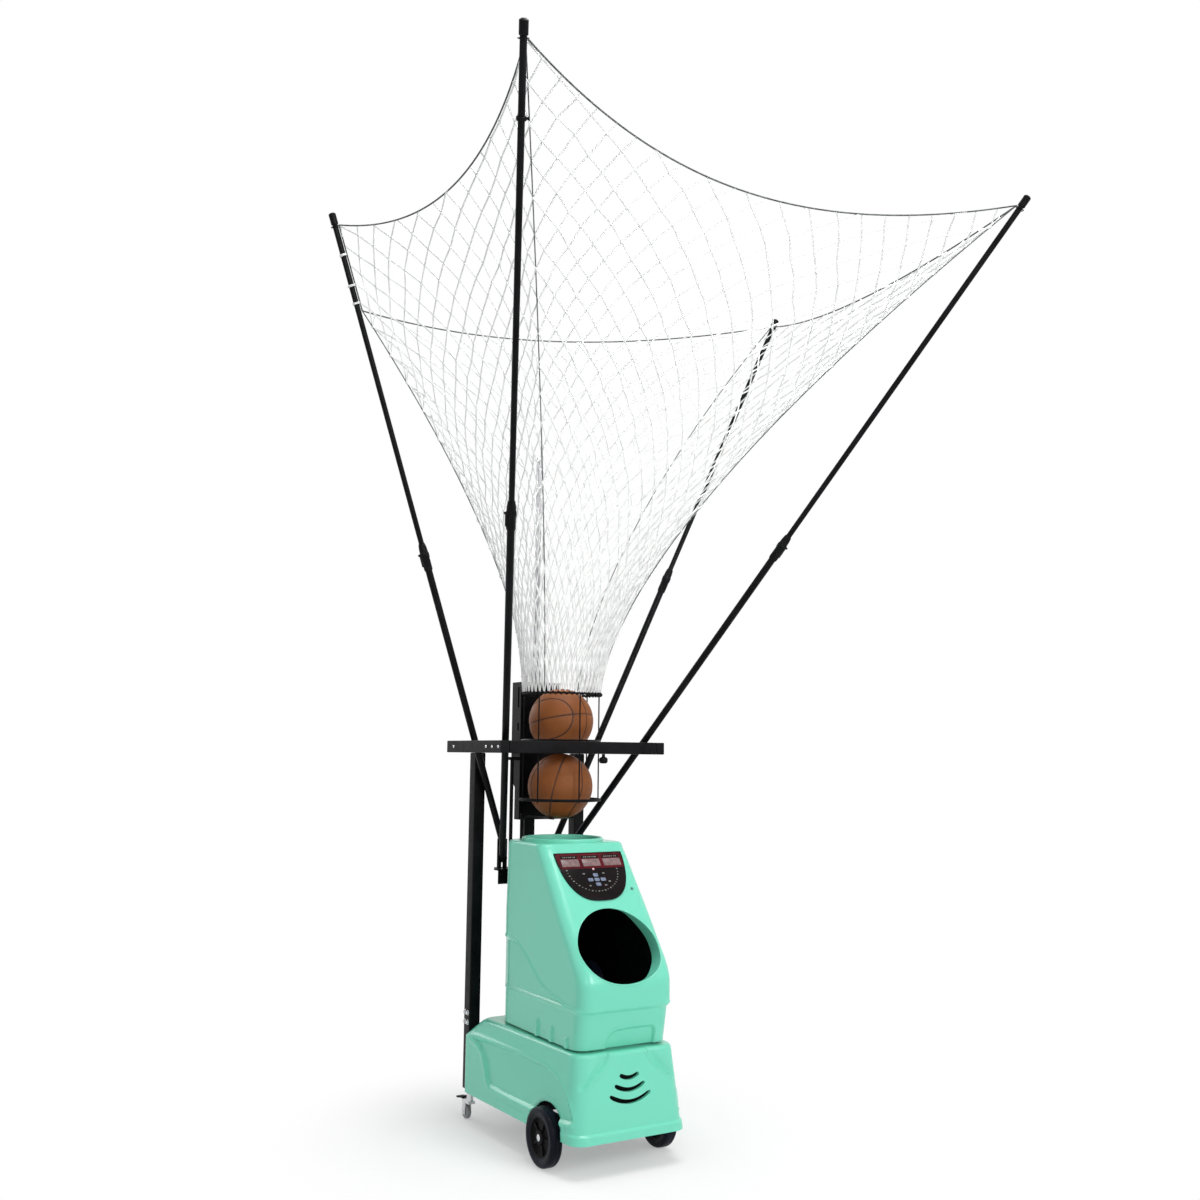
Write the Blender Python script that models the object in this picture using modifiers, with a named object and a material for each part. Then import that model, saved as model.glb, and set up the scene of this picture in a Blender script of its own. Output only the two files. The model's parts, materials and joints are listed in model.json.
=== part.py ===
"""A basketball shooting machine: a wheeled base, a turning launcher under a ball cage, and a net on four poles.

Metres, +Z up. The front, where balls leave, faces -Y. While it is modelled, the launcher turns about the Z axis
through (0, 0); at the end everything is moved so that the origin is under the middle of the whole machine.
"""

import math

import bmesh
import bpy
from mathutils import Matrix, Vector

# Gaps between pieces
TOUCH = 0.0003
RUNNING = 0.0005

# Balls and the wire cage that stacks them
BALL_RADIUS = 0.123
BALL_WALL = 0.0065
BALL_VALVE_RADIUS = 0.003
LOWER_BALL_HEIGHT = 1.25
HOOP_RADIUS = 0.150
HOOP_WIRE_RADIUS = 0.004
CAGE_WIRE_RADIUS = 0.003
TOP_HOOP_HEIGHT = 1.597
LOWER_HOOP_HEIGHT = 1.200
HOOP_LEG_X = 0.080
CAGE_WIRE_ANGLES = (-107, -64, 0, 64, 107)

# Base cover and chassis
COVER_BOTTOM = 0.110
COVER_TOP = 0.385
COVER_FRONT = -0.535
COVER_REAR = 0.270
COVER_WALL = 0.005
COVER_REAR_HALF_WIDTH = 0.2535
COVER_FRONT_HALF_WIDTH = 0.225
COVER_SHOULDER_HEIGHT = 0.316
COVER_TOP_HALF_WIDTH = 0.200
SKIRT_HEIGHT = 0.028
SKIRT_STEP = 0.006
SIDE_PANEL_DEPTH = 0.0025
VENT_THICKNESS = 0.011
CHASSIS_TUBE = 0.030
CHASSIS_BOTTOM = 0.115
CHASSIS_RAIL_X = 0.155

# Wheels
WHEEL_RADIUS = 0.097
WHEEL_WIDTH = 0.045
WHEEL_OUTER_X = 0.251
WHEEL_Y = -0.335
ARCH_GAP = 0.014
AXLE_RADIUS = 0.008
CASTER_RADIUS = 0.0265
CASTER_WIDTH = 0.018
CASTER_TRAIL = 0.028
CASTER_CHEEK = 0.004

# Steelwork behind the launcher
COLUMN_X = 0.222
COLUMN_Y = 0.265
COLUMN_WIDTH = 0.045
COLUMN_DEPTH = 0.050
MAST_SIZE = 0.045
FRAME_HALF_WIDTH = 0.347
FRAME_FRONT = -0.191
RAIL_WIDTH = 0.034
RAIL_HEIGHT = 0.045
FRAME_BOTTOM = 1.3725

# Feeder
FEEDER_HALF_WIDTH = 0.088
FEEDER_FRONT = 0.168
FEEDER_TOP = TOP_HOOP_HEIGHT + 0.053
FEEDER_WALL = 0.003
FEEDER_STEP_HEIGHT = 1.270
FEEDER_BOTTOM = 1.117
FEEDER_PLATE_DEPTH = 0.040
GATE_PIVOT_X = 0.078
GATE_HUB_RADIUS = 0.009
GATE_ROD_RADIUS = 0.005
GATE_ROD_X = 0.045
GATE_FACET_DIP = 0.0006
GATE_HEIGHT = LOWER_BALL_HEIGHT - math.sqrt((BALL_RADIUS + GATE_ROD_RADIUS) ** 2 - GATE_ROD_X ** 2) + GATE_FACET_DIP
CONDUIT_RADIUS = 0.007
OUTER_CONDUIT = (-0.118, 0.175)
INNER_CONDUIT = (-0.058, 0.200)
NET_POST_TOP = 2.567
NET_POST_SIZE = (0.020, 0.012)

# Launcher
HULL_BOTTOM = 0.410
HULL_TOP = 1.050
HULL_WALL = 0.005
HULL_HALF_WIDTH = 0.185
HULL_REAR = 0.135
HULL_REAR_CORNER = 0.090
HULL_FRONT_CORNER = 0.045
HULL_NOSE = -0.505
HULL_STEP_HEIGHT = 0.515
HULL_STEP = 0.012
FACE_TOP_Y = -0.205
FACE_TOP_Z = 1.020
FACE_FOOT_Y = -0.480
FACE_FOOT_Z = 0.660
HOPPER_Y = -0.025
HOPPER_RADIUS = 0.143
HOPPER_WALL = 0.004
HOPPER_LIP = 0.005
HOPPER_FOOT = 0.860
MOUTH_DROP = 0.380
MOUTH_HALF_WIDTH = 0.158
MOUTH_HALF_HEIGHT = 0.146
MOUTH_SLEEVE = 0.060
PANEL_HALF_WIDTH = 0.140
PANEL_DROP = 0.006
PANEL_LENGTH = 0.197
PANEL_THICKNESS = 0.004
DISPLAY_SIZE = (0.072, 0.030)
DISPLAY_SPACING = 0.0865
DISPLAY_DROP = 0.049
KEY_SIZE = (0.020, 0.013)
KEY_SPACING = (0.026, 0.019)
KEY_DROP = 0.120
KEY_STAND_OFF = 0.0018
LAMP_RADIUS = 0.004
LAMP_DROP = 0.076
SIDE_RIBS = ((-0.188, 0.454), (-0.292, 0.450), (-0.397, 0.432))
RIB_HALF_WIDTH = 0.007
RIB_HEIGHT = 0.003
GRIP_OUTLINE = ((-0.070, 0.380), (0.117, 0.380), (0.117, 0.436), (0.107, 0.446), (-0.036, 0.446), (-0.056, 0.436))
GRIP_DEPTH = 0.003
TURNTABLE_RADIUS = 0.160
THROW_WHEEL_RADIUS = 0.090
THROW_WHEEL_WIDTH = 0.040
THROW_WHEEL_X = 0.060
THROW_Y = -0.130
THROW_Z = 0.530
THROW_SHAFT_RADIUS = 0.008

# Poles: each starts at a pivot on the bracket and runs to its top, left side given
FRONT_PIVOT = Vector((-0.135, 0.208, 0.970))
REAR_PIVOT = Vector((-0.118, 0.246, 1.030))
NET_HALF_WIDTH = 1.000
NET_FRONT_REACH = 1.473
NET_REAR_REACH = 0.078
NET_HEIGHT = 3.260
FRONT_TOP = Vector((0.045 - NET_HALF_WIDTH, -NET_FRONT_REACH, NET_HEIGHT - 0.005))
REAR_TOP = Vector((-NET_HALF_WIDTH, -NET_REAR_REACH, NET_HEIGHT))
FRONT_COLLAR_SHARE = 0.51
REAR_COLLAR_SHARE = 0.48
LOWER_POLE_RADIUS = 0.013
UPPER_POLE_RADIUS = 0.010
POLE_WALL = 0.002
POLE_OVERLAP = 0.120
POLE_TAIL = 0.011
COLLAR_RADIUS = 0.018
COLLAR_LENGTH = 0.120
PIN_RADIUS = 0.004
EAR_THICKNESS = 0.003
EAR_HALF_WIDTH = 0.011
SHELF_BOTTOM = 0.924
SHELF_THICKNESS = 0.006

# Net
NET_COLUMNS = 20
NET_ROWS = 9
NET_CORD = 0.006
NET_CORNER_DROP = 0.060
NET_LACING = 0.350
NET_FLARE = 1.6
NET_ROW_GROWTH = 1.3
FRONT_SAG = Vector((0, 0.223, -0.110))
SIDE_SAG = Vector((0.100, 0, -0.125))
REAR_SAG = Vector((0, 0.200, -0.032))

WORLD_X = Vector((1, 0, 0))
WORLD_Z = Vector((0, 0, 1))


def clear_scene():
    for obj in list(bpy.data.objects):
        bpy.data.objects.remove(obj, do_unlink=True)


def new_collection(name):
    collection = bpy.data.collections.new(name)
    bpy.context.scene.collection.children.link(collection)
    return collection


clear_scene()
PARTS = new_collection("ball_machine")
CUTTERS = new_collection("cutters")


def empty(name, location, parent=None):
    """An empty on a joint's axis; its children turn or slide with it."""
    obj = bpy.data.objects.new(name, None)
    obj.empty_display_size = 0.05
    PARTS.objects.link(obj)
    hang(obj, location, parent)
    return obj


def hang(obj, location, parent):
    """Place obj at a location of the machine, also when its parent is elsewhere."""
    place = Vector(location)
    if parent is None:
        obj.location = place
        obj["place"] = place
        return
    obj.parent = parent
    obj.location = place - Vector(parent["place"])
    obj["place"] = place


def finish(name, colour, roughness, metallic=0.0):
    """A Principled material in the part's own colour."""
    material = bpy.data.materials.new(name)
    material.use_nodes = True
    shader = material.node_tree.nodes["Principled BSDF"]
    shader.inputs["Base Color"].default_value = (*colour, 1.0)
    shader.inputs["Roughness"].default_value = roughness
    shader.inputs["Metallic"].default_value = metallic
    material.diffuse_color = (*colour, 1.0)
    return material


MINT = (0.33, 0.78, 0.64)
BLACK = (0.02, 0.02, 0.022)
STEEL = (0.62, 0.63, 0.65)
RUBBER = (0.03, 0.03, 0.035)
BALL_TAN = (0.55, 0.25, 0.10)
WHITE = (0.85, 0.86, 0.86)
PANEL_RED = (0.25, 0.03, 0.04)
DISPLAY_GREY = (0.50, 0.42, 0.43)
KEY_BLUE = (0.33, 0.42, 0.52)

MACHINE = empty("machine", (0, 0, 0))


def add(name, mesh, location, look, parent=None):
    """A named piece of the machine, from a mesh around its own origin."""
    obj = bpy.data.objects.new(name, mesh)
    colour, roughness, metallic = look
    mesh.materials.append(finish(name, colour, roughness, metallic))
    PARTS.objects.link(obj)
    hang(obj, location, parent or MACHINE)
    return obj


def mesh_of(shape):
    """A mesh from a bmesh, with its faces turned outwards."""
    bmesh.ops.recalc_face_normals(shape, faces=shape.faces)
    mesh = bpy.data.meshes.new("shape")
    shape.to_mesh(mesh)
    shape.free()
    return mesh


def box_mesh(size):
    shape = bmesh.new()
    bmesh.ops.create_cube(shape, size=1.0)
    bmesh.ops.scale(shape, vec=size, verts=shape.verts)
    return mesh_of(shape)


def rod_mesh(radius, length, axis, sides=24):
    """A cylinder centred on its origin, along an axis."""
    shape = bmesh.new()
    bmesh.ops.create_cone(shape, cap_ends=True, segments=sides, radius1=radius, radius2=radius, depth=length)
    bmesh.ops.rotate(shape, matrix=turn_to(axis), verts=shape.verts)
    return mesh_of(shape)


def turn_to(axis):
    """The rotation that takes +Z to an axis."""
    return WORLD_Z.rotation_difference(Vector(axis)).to_matrix()


def round_off(obj, width, segments=2):
    """Rounded edges."""
    bevel = obj.modifiers.new("rounded edges", "BEVEL")
    bevel.width = width
    bevel.segments = segments
    bevel.limit_method = "ANGLE"
    return obj


def soften(obj, angle=35):
    """Smooth shading with sharp edges kept."""
    obj.data.shade_smooth()
    obj.data.set_sharp_from_angle(angle=math.radians(angle))
    return obj


def even_shading(obj):
    """Smooth shading that large flat faces keep flat, for cut shells."""
    soften(obj, 40)
    normals = obj.modifiers.new("even shading", "WEIGHTED_NORMAL")
    normals.keep_sharp = True
    return obj


def box(name, size, centre, look, parent=None, edge=0.0):
    obj = add(name, box_mesh(size), centre, look, parent)
    if edge:
        round_off(obj, edge)
    return obj


def cutter(name, mesh, location):
    """A shape that other pieces are cut or joined with, and that isn't a piece itself."""
    obj = bpy.data.objects.new(name, mesh)
    CUTTERS.objects.link(obj)
    obj.hide_render = True
    obj.display_type = "WIRE"
    hang(obj, location, MACHINE)
    return obj


def boolean(obj, other, operation):
    modifier = obj.modifiers.new(other.name, "BOOLEAN")
    modifier.operation = operation
    modifier.object = other
    modifier.solver = "EXACT"
    return obj


def cut(obj, other):
    return boolean(obj, other, "DIFFERENCE")


def join(obj, other):
    return boolean(obj, other, "UNION")


def cut_box(obj, name, low, high):
    """Cut a box given by two corners."""
    low = Vector(low)
    high = Vector(high)
    return cut(obj, cutter(name, box_mesh(high - low), (low + high) / 2))


def join_box(obj, name, low, high):
    low = Vector(low)
    high = Vector(high)
    return join(obj, cutter(name, box_mesh(high - low), (low + high) / 2))


def turned(name, profile, centre, look, parent=None, axis=(0, 0, 1), steps=24):
    """A turned piece. The profile is a closed loop of (radius, height), down its outer side first."""
    mesh = bpy.data.meshes.new(name)
    points = [(radius, 0, height) for radius, height in profile]
    edges = [(i, i + 1) for i in range(len(points) - 1)]
    if profile[0][0] > 0:
        edges.append((len(points) - 1, 0))
    mesh.from_pydata(points, edges, [])
    obj = add(name, mesh, centre, look, parent)
    obj.rotation_euler = turn_to(axis).to_euler()
    screw = obj.modifiers.new("turned", "SCREW")
    screw.steps = steps
    screw.render_steps = steps
    screw.use_merge_vertices = True
    screw.merge_threshold = 0.00001
    screw.use_smooth_shade = True
    return obj


def wire_mesh(paths, radius, sides=6):
    """Round wires along paths of points, all in one mesh, with closed ends."""
    curve = bpy.data.curves.new("wire", "CURVE")
    curve.dimensions = "3D"
    curve.bevel_depth = radius
    curve.bevel_resolution = max(0, (sides - 4) // 2)
    curve.use_fill_caps = True
    for path in paths:
        spline = curve.splines.new("POLY")
        spline.points.add(len(path) - 1)
        for point, place in zip(spline.points, path):
            point.co = (*place, 1.0)
    guide = bpy.data.objects.new("wire", curve)
    CUTTERS.objects.link(guide)
    bpy.context.view_layer.update()
    graph = bpy.context.evaluated_depsgraph_get()
    mesh = bpy.data.meshes.new_from_object(guide.evaluated_get(graph))
    bpy.data.objects.remove(guide, do_unlink=True)
    mesh.materials.clear()
    return weld(mesh)


def weld(mesh):
    shape = bmesh.new()
    shape.from_mesh(mesh)
    bmesh.ops.remove_doubles(shape, verts=shape.verts, dist=0.00001)
    bmesh.ops.recalc_face_normals(shape, faces=shape.faces)
    shape.to_mesh(mesh)
    shape.free()
    return mesh


def plate_mesh(outline, thickness):
    """A flat outline in X and Y with a thickness along Z, centred on Z = 0."""
    curve = bpy.data.curves.new("plate", "CURVE")
    curve.dimensions = "2D"
    curve.fill_mode = "BOTH"
    curve.extrude = thickness / 2
    spline = curve.splines.new("POLY")
    spline.points.add(len(outline) - 1)
    for point, (x, y) in zip(spline.points, outline):
        point.co = (x, y, 0, 1)
    spline.use_cyclic_u = True
    guide = bpy.data.objects.new("plate", curve)
    CUTTERS.objects.link(guide)
    bpy.context.view_layer.update()
    graph = bpy.context.evaluated_depsgraph_get()
    mesh = bpy.data.meshes.new_from_object(guide.evaluated_get(graph))
    bpy.data.objects.remove(guide, do_unlink=True)
    mesh.materials.clear()
    return weld(mesh)


def turn_mesh(mesh, matrix):
    mesh.transform(matrix.to_4x4())
    return mesh


# Takes a plate drawn in X and Y to the machine's side view: the outline's X runs along Y, its Y up
SIDE_VIEW = Matrix(((0, 0, 1), (1, 0, 0), (0, 1, 0)))

# Takes a plate drawn in X and Y to the machine's front view: X stays, the outline's Y runs up
FRONT_VIEW = Matrix(((1, 0, 0), (0, 0, -1), (0, 1, 0)))


def arc(centre_x, centre_y, radius, start, end, steps):
    """Points along an arc, angles in degrees."""
    turn = [math.radians(start + (end - start) * i / steps) for i in range(steps + 1)]
    return [(centre_x + radius * math.cos(a), centre_y + radius * math.sin(a)) for a in turn]


def plan_outline(front, rear, front_half, rear_half, front_corner, rear_corner, steps=4):
    """A plan view with rounded corners, as wide as given at its front and its rear."""
    points = arc(front_half - front_corner, front + front_corner, front_corner, -90, 0, steps)
    points += arc(rear_half - rear_corner, rear - rear_corner, rear_corner, 0, 90, steps)
    points += arc(rear_corner - rear_half, rear - rear_corner, rear_corner, 90, 180, steps)
    points += arc(front_corner - front_half, front + front_corner, front_corner, 180, 270, steps)
    return points


def loft_mesh(levels):
    """A closed solid through plan outlines, given as (height, outline) from the bottom up."""
    shape = bmesh.new()
    rings = []
    for height, outline in levels:
        rings.append([shape.verts.new((x, y, height)) for x, y in outline])
    for lower, upper in zip(rings, rings[1:]):
        for i in range(len(lower)):
            j = (i + 1) % len(lower)
            shape.faces.new((lower[i], lower[j], upper[j], upper[i]))
    shape.faces.new(list(reversed(rings[0])))
    shape.faces.new(rings[-1])
    return mesh_of(shape)


def between(value, low, high):
    """How far value is from low to high, kept to 0 to 1."""
    return min(1.0, max(0.0, (value - low) / (high - low)))


def blend(start, end, share):
    return start + (end - start) * share


# Looks: colour, roughness, metallic
MINT_SHELL = (MINT, 0.28, 0.0)
BLACK_STEEL = (BLACK, 0.45, 0.3)
BLACK_PLASTIC = (BLACK, 0.55, 0.0)
BRIGHT_STEEL = (STEEL, 0.3, 1.0)
TYRE = (RUBBER, 0.8, 0.0)


# Base cover

def cover_outline(height, inset):
    """The cover's plan at a height, from the skirt to the shoulder and the rounded top."""
    skirt = SKIRT_STEP if height > COVER_BOTTOM + SKIRT_HEIGHT else 0.0
    lean = between(height, COVER_BOTTOM, COVER_TOP)
    shoulder = between(height, COVER_SHOULDER_HEIGHT, COVER_TOP)
    edge = 0.012 * between(height, COVER_TOP - 0.012, COVER_TOP) ** 2
    front_half = blend(COVER_FRONT_HALF_WIDTH, COVER_TOP_HALF_WIDTH, lean)
    rear_half = blend(COVER_REAR_HALF_WIDTH, COVER_TOP_HALF_WIDTH + 0.005, shoulder)
    front = blend(COVER_FRONT, COVER_FRONT + 0.030, lean) + skirt
    rear = blend(COVER_REAR, COVER_REAR - 0.070, shoulder)
    side = skirt * 0.5 + inset + edge
    return plan_outline(front + inset + edge, rear - inset - edge, front_half - side, rear_half - inset - edge,
                        0.055 - inset, 0.030 - inset)


def cover_levels(inset, bottom, top):
    step = COVER_BOTTOM + SKIRT_HEIGHT
    heights = [COVER_BOTTOM, step, step + 0.002, COVER_SHOULDER_HEIGHT, top - 0.012, top - 0.004, top]
    if bottom < COVER_BOTTOM:
        heights.insert(0, bottom)
    return [(height, cover_outline(max(height, COVER_BOTTOM), inset)) for height in heights]


def side_panel_outline():
    """The recessed field on the cover's side: an S at its rear end, a curve over the wheel at its front."""
    rear = [(0.245, 0.322), (0.175, 0.306), (0.135, 0.286), (0.109, 0.259), (0.092, 0.215), (0.076, 0.182)]
    rear += [(0.055, 0.166), (-0.200, 0.164)]
    front = [(-0.497, 0.164), (-0.491, 0.195), (-0.468, 0.236), (-0.425, 0.275), (-0.370, 0.303), (-0.300, 0.318)]
    return rear + front + [(-0.200, 0.322)]


def smile_outline(half_width, depth, thickness, steps=8):
    """A vent slot bent like a smile, thin at its ends."""
    lower = []
    upper = []
    for i in range(steps + 1):
        x = blend(-half_width, half_width, i / steps)
        dip = depth * (1 - (x / half_width) ** 2)
        swell = thickness / 2 * math.sqrt(max(0.12, 1 - (x / half_width) ** 4))
        lower.append((x, -dip - swell))
        upper.append((x, -dip + swell))
    return lower + upper[::-1]


def make_base_cover():
    cover = add("base_cover", loft_mesh(cover_levels(0, COVER_BOTTOM, COVER_TOP)), (0, 0, 0), MINT_SHELL)
    below = COVER_BOTTOM - 0.05
    hollow = loft_mesh(cover_levels(COVER_WALL, below, COVER_TOP - COVER_WALL))
    cut(cover, cutter("cover_hollow", hollow, (0, 0, 0)))
    arch_side = rod_mesh(WHEEL_RADIUS + ARCH_GAP, 0.1, WORLD_X, 28)
    for side in (-1, 1):
        x = side * (WHEEL_OUTER_X - WHEEL_WIDTH - ARCH_GAP + 0.05)
        cut(cover, cutter("wheel_arch", arch_side.copy(), (x, WHEEL_Y, WHEEL_RADIUS)))
    for side in (-1, 1):
        field = cutter("side_field", turn_mesh(plate_mesh(side_panel_outline(), 0.12), SIDE_VIEW), (side * 0.24, 0, 0))
        core = loft_mesh(cover_levels(SIDE_PANEL_DEPTH, COVER_BOTTOM - 0.05, COVER_TOP - SIDE_PANEL_DEPTH))
        cut(field, cutter("cover_core", core, (0, 0, 0)))
        cut(cover, field)
    for column_side in (-1, 1):
        x = column_side * COLUMN_X
        half = COLUMN_WIDTH / 2 + TOUCH
        front = COLUMN_Y - COLUMN_DEPTH / 2 - TOUCH
        cut_box(cover, "column_notch", (x - half, front, 0), (x + half, COVER_REAR + 0.05, 0.5))
    half = MAST_SIZE / 2 + TOUCH
    front = COLUMN_Y - half
    cut_box(cover, "mast_notch", (-half, front, 0), (half, COVER_REAR + 0.05, 0.5))
    for count in range(3):
        half_width = 0.039 + 0.022 * count
        slot = plate_mesh(smile_outline(half_width, 0.31 * half_width, VENT_THICKNESS), 0.06)
        slot = turn_mesh(slot, Matrix.Rotation(math.radians(90), 3, "X"))
        cut(cover, cutter("vent", slot, (0, COVER_FRONT + 0.02, COVER_TOP - 0.074 - 0.031 * count)))
    switch_x, switch_z = SWITCH_PLACE
    width, height = SWITCH_SIZE
    cut_box(cover, "switch_hole", (switch_x - width / 2 - RUNNING, COVER_REAR - 0.03, switch_z - height / 2 - 0.0015),
            (switch_x + width / 2 + RUNNING, COVER_REAR + 0.03, switch_z + height / 2 + 0.0015))
    return cover


SWITCH_PLACE = (0.100, 0.240)
SWITCH_SIZE = (0.018, 0.026)
INLET_PLACE = (0.145, 0.240)


def make_rear_sockets():
    switch_x, switch_z = SWITCH_PLACE
    width, height = SWITCH_SIZE
    pivot = empty("switch_pivot", (switch_x, COVER_REAR - 0.002, switch_z), MACHINE)
    box("power_switch", (width, 0.008, height), (switch_x, COVER_REAR - 0.001, switch_z), BLACK_PLASTIC, pivot, 0.001)
    inlet_x, inlet_z = INLET_PLACE
    inlet = box("power_inlet", (0.032, 0.010, 0.026), (inlet_x, COVER_REAR + 0.005 + TOUCH, inlet_z), BLACK_PLASTIC)
    cut_box(inlet, "inlet_socket", (inlet_x - 0.012, COVER_REAR + 0.003, inlet_z - 0.009),
            (inlet_x + 0.012, COVER_REAR + 0.030, inlet_z + 0.009))


def make_chassis():
    """A welded frame of square tubes: two long rails, cross rails, axle plates and turntable posts."""
    tube = CHASSIS_TUBE
    low = CHASSIS_BOTTOM
    high = CHASSIS_BOTTOM + tube
    front = WHEEL_Y + 0.020
    rear = COVER_REAR - COVER_WALL - 0.003
    x = CHASSIS_RAIL_X
    mesh = box_mesh((tube, rear - front, tube))
    rail = add("chassis", mesh, (-x, (front + rear) / 2, (low + high) / 2), BLACK_STEEL)
    join_box(rail, "right_rail", (x - tube / 2, front, low), (x + tube / 2, rear, high))
    for y in (front + tube / 2 + 0.010, HOPPER_Y - 0.095, HOPPER_Y + 0.095):
        join_box(rail, "cross_rail", (-x, y - tube / 2, low + 0.001), (x, y + tube / 2, high - 0.001))
    column_face = COLUMN_X - COLUMN_WIDTH / 2 - TOUCH
    join_box(rail, "rear_rail", (-column_face, rear - tube, low + 0.001), (column_face, rear - 0.001, high - 0.001))
    for side in (-1, 1):
        plate_x = side * (x + 0.004)
        join_box(rail, "axle_plate", (plate_x - 0.004, WHEEL_Y - 0.020, WHEEL_RADIUS - 0.020),
                 (plate_x + 0.004, WHEEL_Y + 0.050, high - 0.003))
        for y in (HOPPER_Y - 0.095, HOPPER_Y + 0.095):
            post_x = side * 0.100
            join_box(rail, "turntable_post", (post_x - 0.010, y - 0.010, high - 0.010),
                     (post_x + 0.010, y + 0.010, COVER_TOP - COVER_WALL - TOUCH))
    axle = rod_mesh(AXLE_RADIUS, 2 * (WHEEL_OUTER_X - 0.004), WORLD_X, 16)
    join(rail, cutter("front_axle", axle, (0, WHEEL_Y, WHEEL_RADIUS)))


def make_front_wheels():
    """Solid tyres on dished hubs, free on the axle."""
    half = WHEEL_WIDTH / 2
    rim = WHEEL_RADIUS * 0.62
    bore = AXLE_RADIUS + TOUCH
    profile = [(rim, half - 0.002), (WHEEL_RADIUS - 0.012, half), (WHEEL_RADIUS, half - 0.010)]
    profile += [(WHEEL_RADIUS, -half + 0.010), (WHEEL_RADIUS - 0.012, -half), (rim, -half + 0.002)]
    profile += [(rim - 0.006, -half + 0.012), (0.024, -half + 0.012), (0.020, -half), (bore, -half)]
    profile += [(bore, half), (0.020, half), (0.024, half - 0.012), (rim - 0.006, half - 0.012)]
    for side, name in ((-1, "front_wheel_left"), (1, "front_wheel_right")):
        centre = (side * (WHEEL_OUTER_X - half), WHEEL_Y, WHEEL_RADIUS)
        pivot = empty(name + "_axis", centre, MACHINE)
        turned(name, profile, centre, TYRE, pivot, (side, 0, 0), 28)


def make_casters():
    """Swivel casters under the columns, trailing to the rear, each with a brake pedal."""
    for side, word in ((-1, "left"), (1, "right")):
        x = side * COLUMN_X
        axis = empty("caster_" + word + "_swivel", (x, COLUMN_Y, CHASSIS_BOTTOM), MACHINE)
        wheel_y = COLUMN_Y + CASTER_TRAIL
        crown = 2 * CASTER_RADIUS + 0.008
        gap = CASTER_WIDTH / 2 + 0.0008
        outer = gap + CASTER_CHEEK
        fork = box("caster_fork_" + word, (2 * outer, 0.060, 0.010), (x, COLUMN_Y + 0.0135, crown + 0.005),
                   BRIGHT_STEEL, axis)
        neck_length = CHASSIS_BOTTOM - TOUCH - crown - 0.002
        neck = rod_mesh(0.013, neck_length, WORLD_Z, 16)
        join(fork, cutter("caster_neck", neck, (x, COLUMN_Y, CHASSIS_BOTTOM - TOUCH - neck_length / 2)))
        for cheek in (-1, 1):
            inner_x = x + cheek * gap
            outer_x = x + cheek * (outer - 0.0004)
            low = (min(inner_x, outer_x), wheel_y - 0.012, CASTER_RADIUS - 0.010)
            high = (max(inner_x, outer_x), wheel_y + 0.0115, crown + 0.004)
            join_box(fork, "caster_cheek", low, high)
        pin = rod_mesh(0.004, 2 * outer + 0.003, WORLD_X, 12)
        join(fork, cutter("caster_pin", pin, (x, wheel_y, CASTER_RADIUS)))
        half = CASTER_WIDTH / 2
        profile = [(CASTER_RADIUS - 0.003, half), (CASTER_RADIUS, half - 0.003), (CASTER_RADIUS, -half + 0.003)]
        profile += [(CASTER_RADIUS - 0.003, -half), (0.0043, -half), (0.0043, half)]
        roll = empty("caster_" + word + "_roll", (x, wheel_y, CASTER_RADIUS), axis)
        turned("caster_wheel_" + word, profile, (x, wheel_y, CASTER_RADIUS), BRIGHT_STEEL, roll, (1, 0, 0), 16)
        hinge = (x, wheel_y + 0.020, crown + 0.012)
        press = empty("caster_" + word + "_brake", hinge, axis)
        pedal = [(-0.0038, -0.003), (0.004, -0.003), (0.040, -0.010), (0.046, -0.009), (0.046, -0.004), (0.038, -0.003)]
        pedal += [(0.006, 0.004), (-0.004, 0.003)]
        shape = turn_mesh(plate_mesh(pedal, 2 * outer), SIDE_VIEW)
        add("brake_pedal_" + word, shape, hinge, BLACK_PLASTIC, press)


def make_columns():
    top = FRAME_BOTTOM - TOUCH
    for side, word in ((-1, "left"), (1, "right")):
        centre = (side * COLUMN_X, COLUMN_Y, (CHASSIS_BOTTOM + top) / 2)
        column = box("column_" + word, (COLUMN_WIDTH, COLUMN_DEPTH, top - CHASSIS_BOTTOM), centre, BLACK_STEEL)
        round_off(column, 0.004)
        tube_bore(column, side * COLUMN_X, CHASSIS_BOTTOM + 0.006, top)
    foot = CHASSIS_BOTTOM + CHASSIS_TUBE + TOUCH
    mast = box("mast", (MAST_SIZE, MAST_SIZE, top - foot), (0, COLUMN_Y, (foot + top) / 2), BLACK_STEEL)
    round_off(mast, 0.004)
    tube_bore(mast, 0, foot + 0.006, top)


def tube_bore(post, x, low, top):
    """The hollow of an upright, open at its top under the rear rail."""
    half = RAIL_WIDTH / 2 - 0.001
    cut_box(post, "tube_bore", (x - half, COLUMN_Y - half, low), (x + half, COLUMN_Y + half, top + 0.05))


def make_top_frame():
    """A rectangle of bolted rails that the poles lean against."""
    z = FRAME_BOTTOM + RAIL_HEIGHT / 2
    rear = COLUMN_Y + RAIL_WIDTH / 2
    side_x = FRAME_HALF_WIDTH - RAIL_WIDTH / 2
    length = rear - FRAME_FRONT
    for side, word in ((-1, "left"), (1, "right")):
        centre = (side * side_x, (rear + FRAME_FRONT) / 2, z)
        box("frame_side_" + word, (RAIL_WIDTH, length, RAIL_HEIGHT), centre, BLACK_STEEL, None, 0.003)
    inner = 2 * (FRAME_HALF_WIDTH - RAIL_WIDTH - TOUCH)
    size = (inner, RAIL_WIDTH, RAIL_HEIGHT)
    box("frame_front", size, (0, FRAME_FRONT + RAIL_WIDTH / 2, z), BLACK_STEEL, None, 0.003)
    box("frame_rear", size, (0, COLUMN_Y, z), BLACK_STEEL, None, 0.003)


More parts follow.
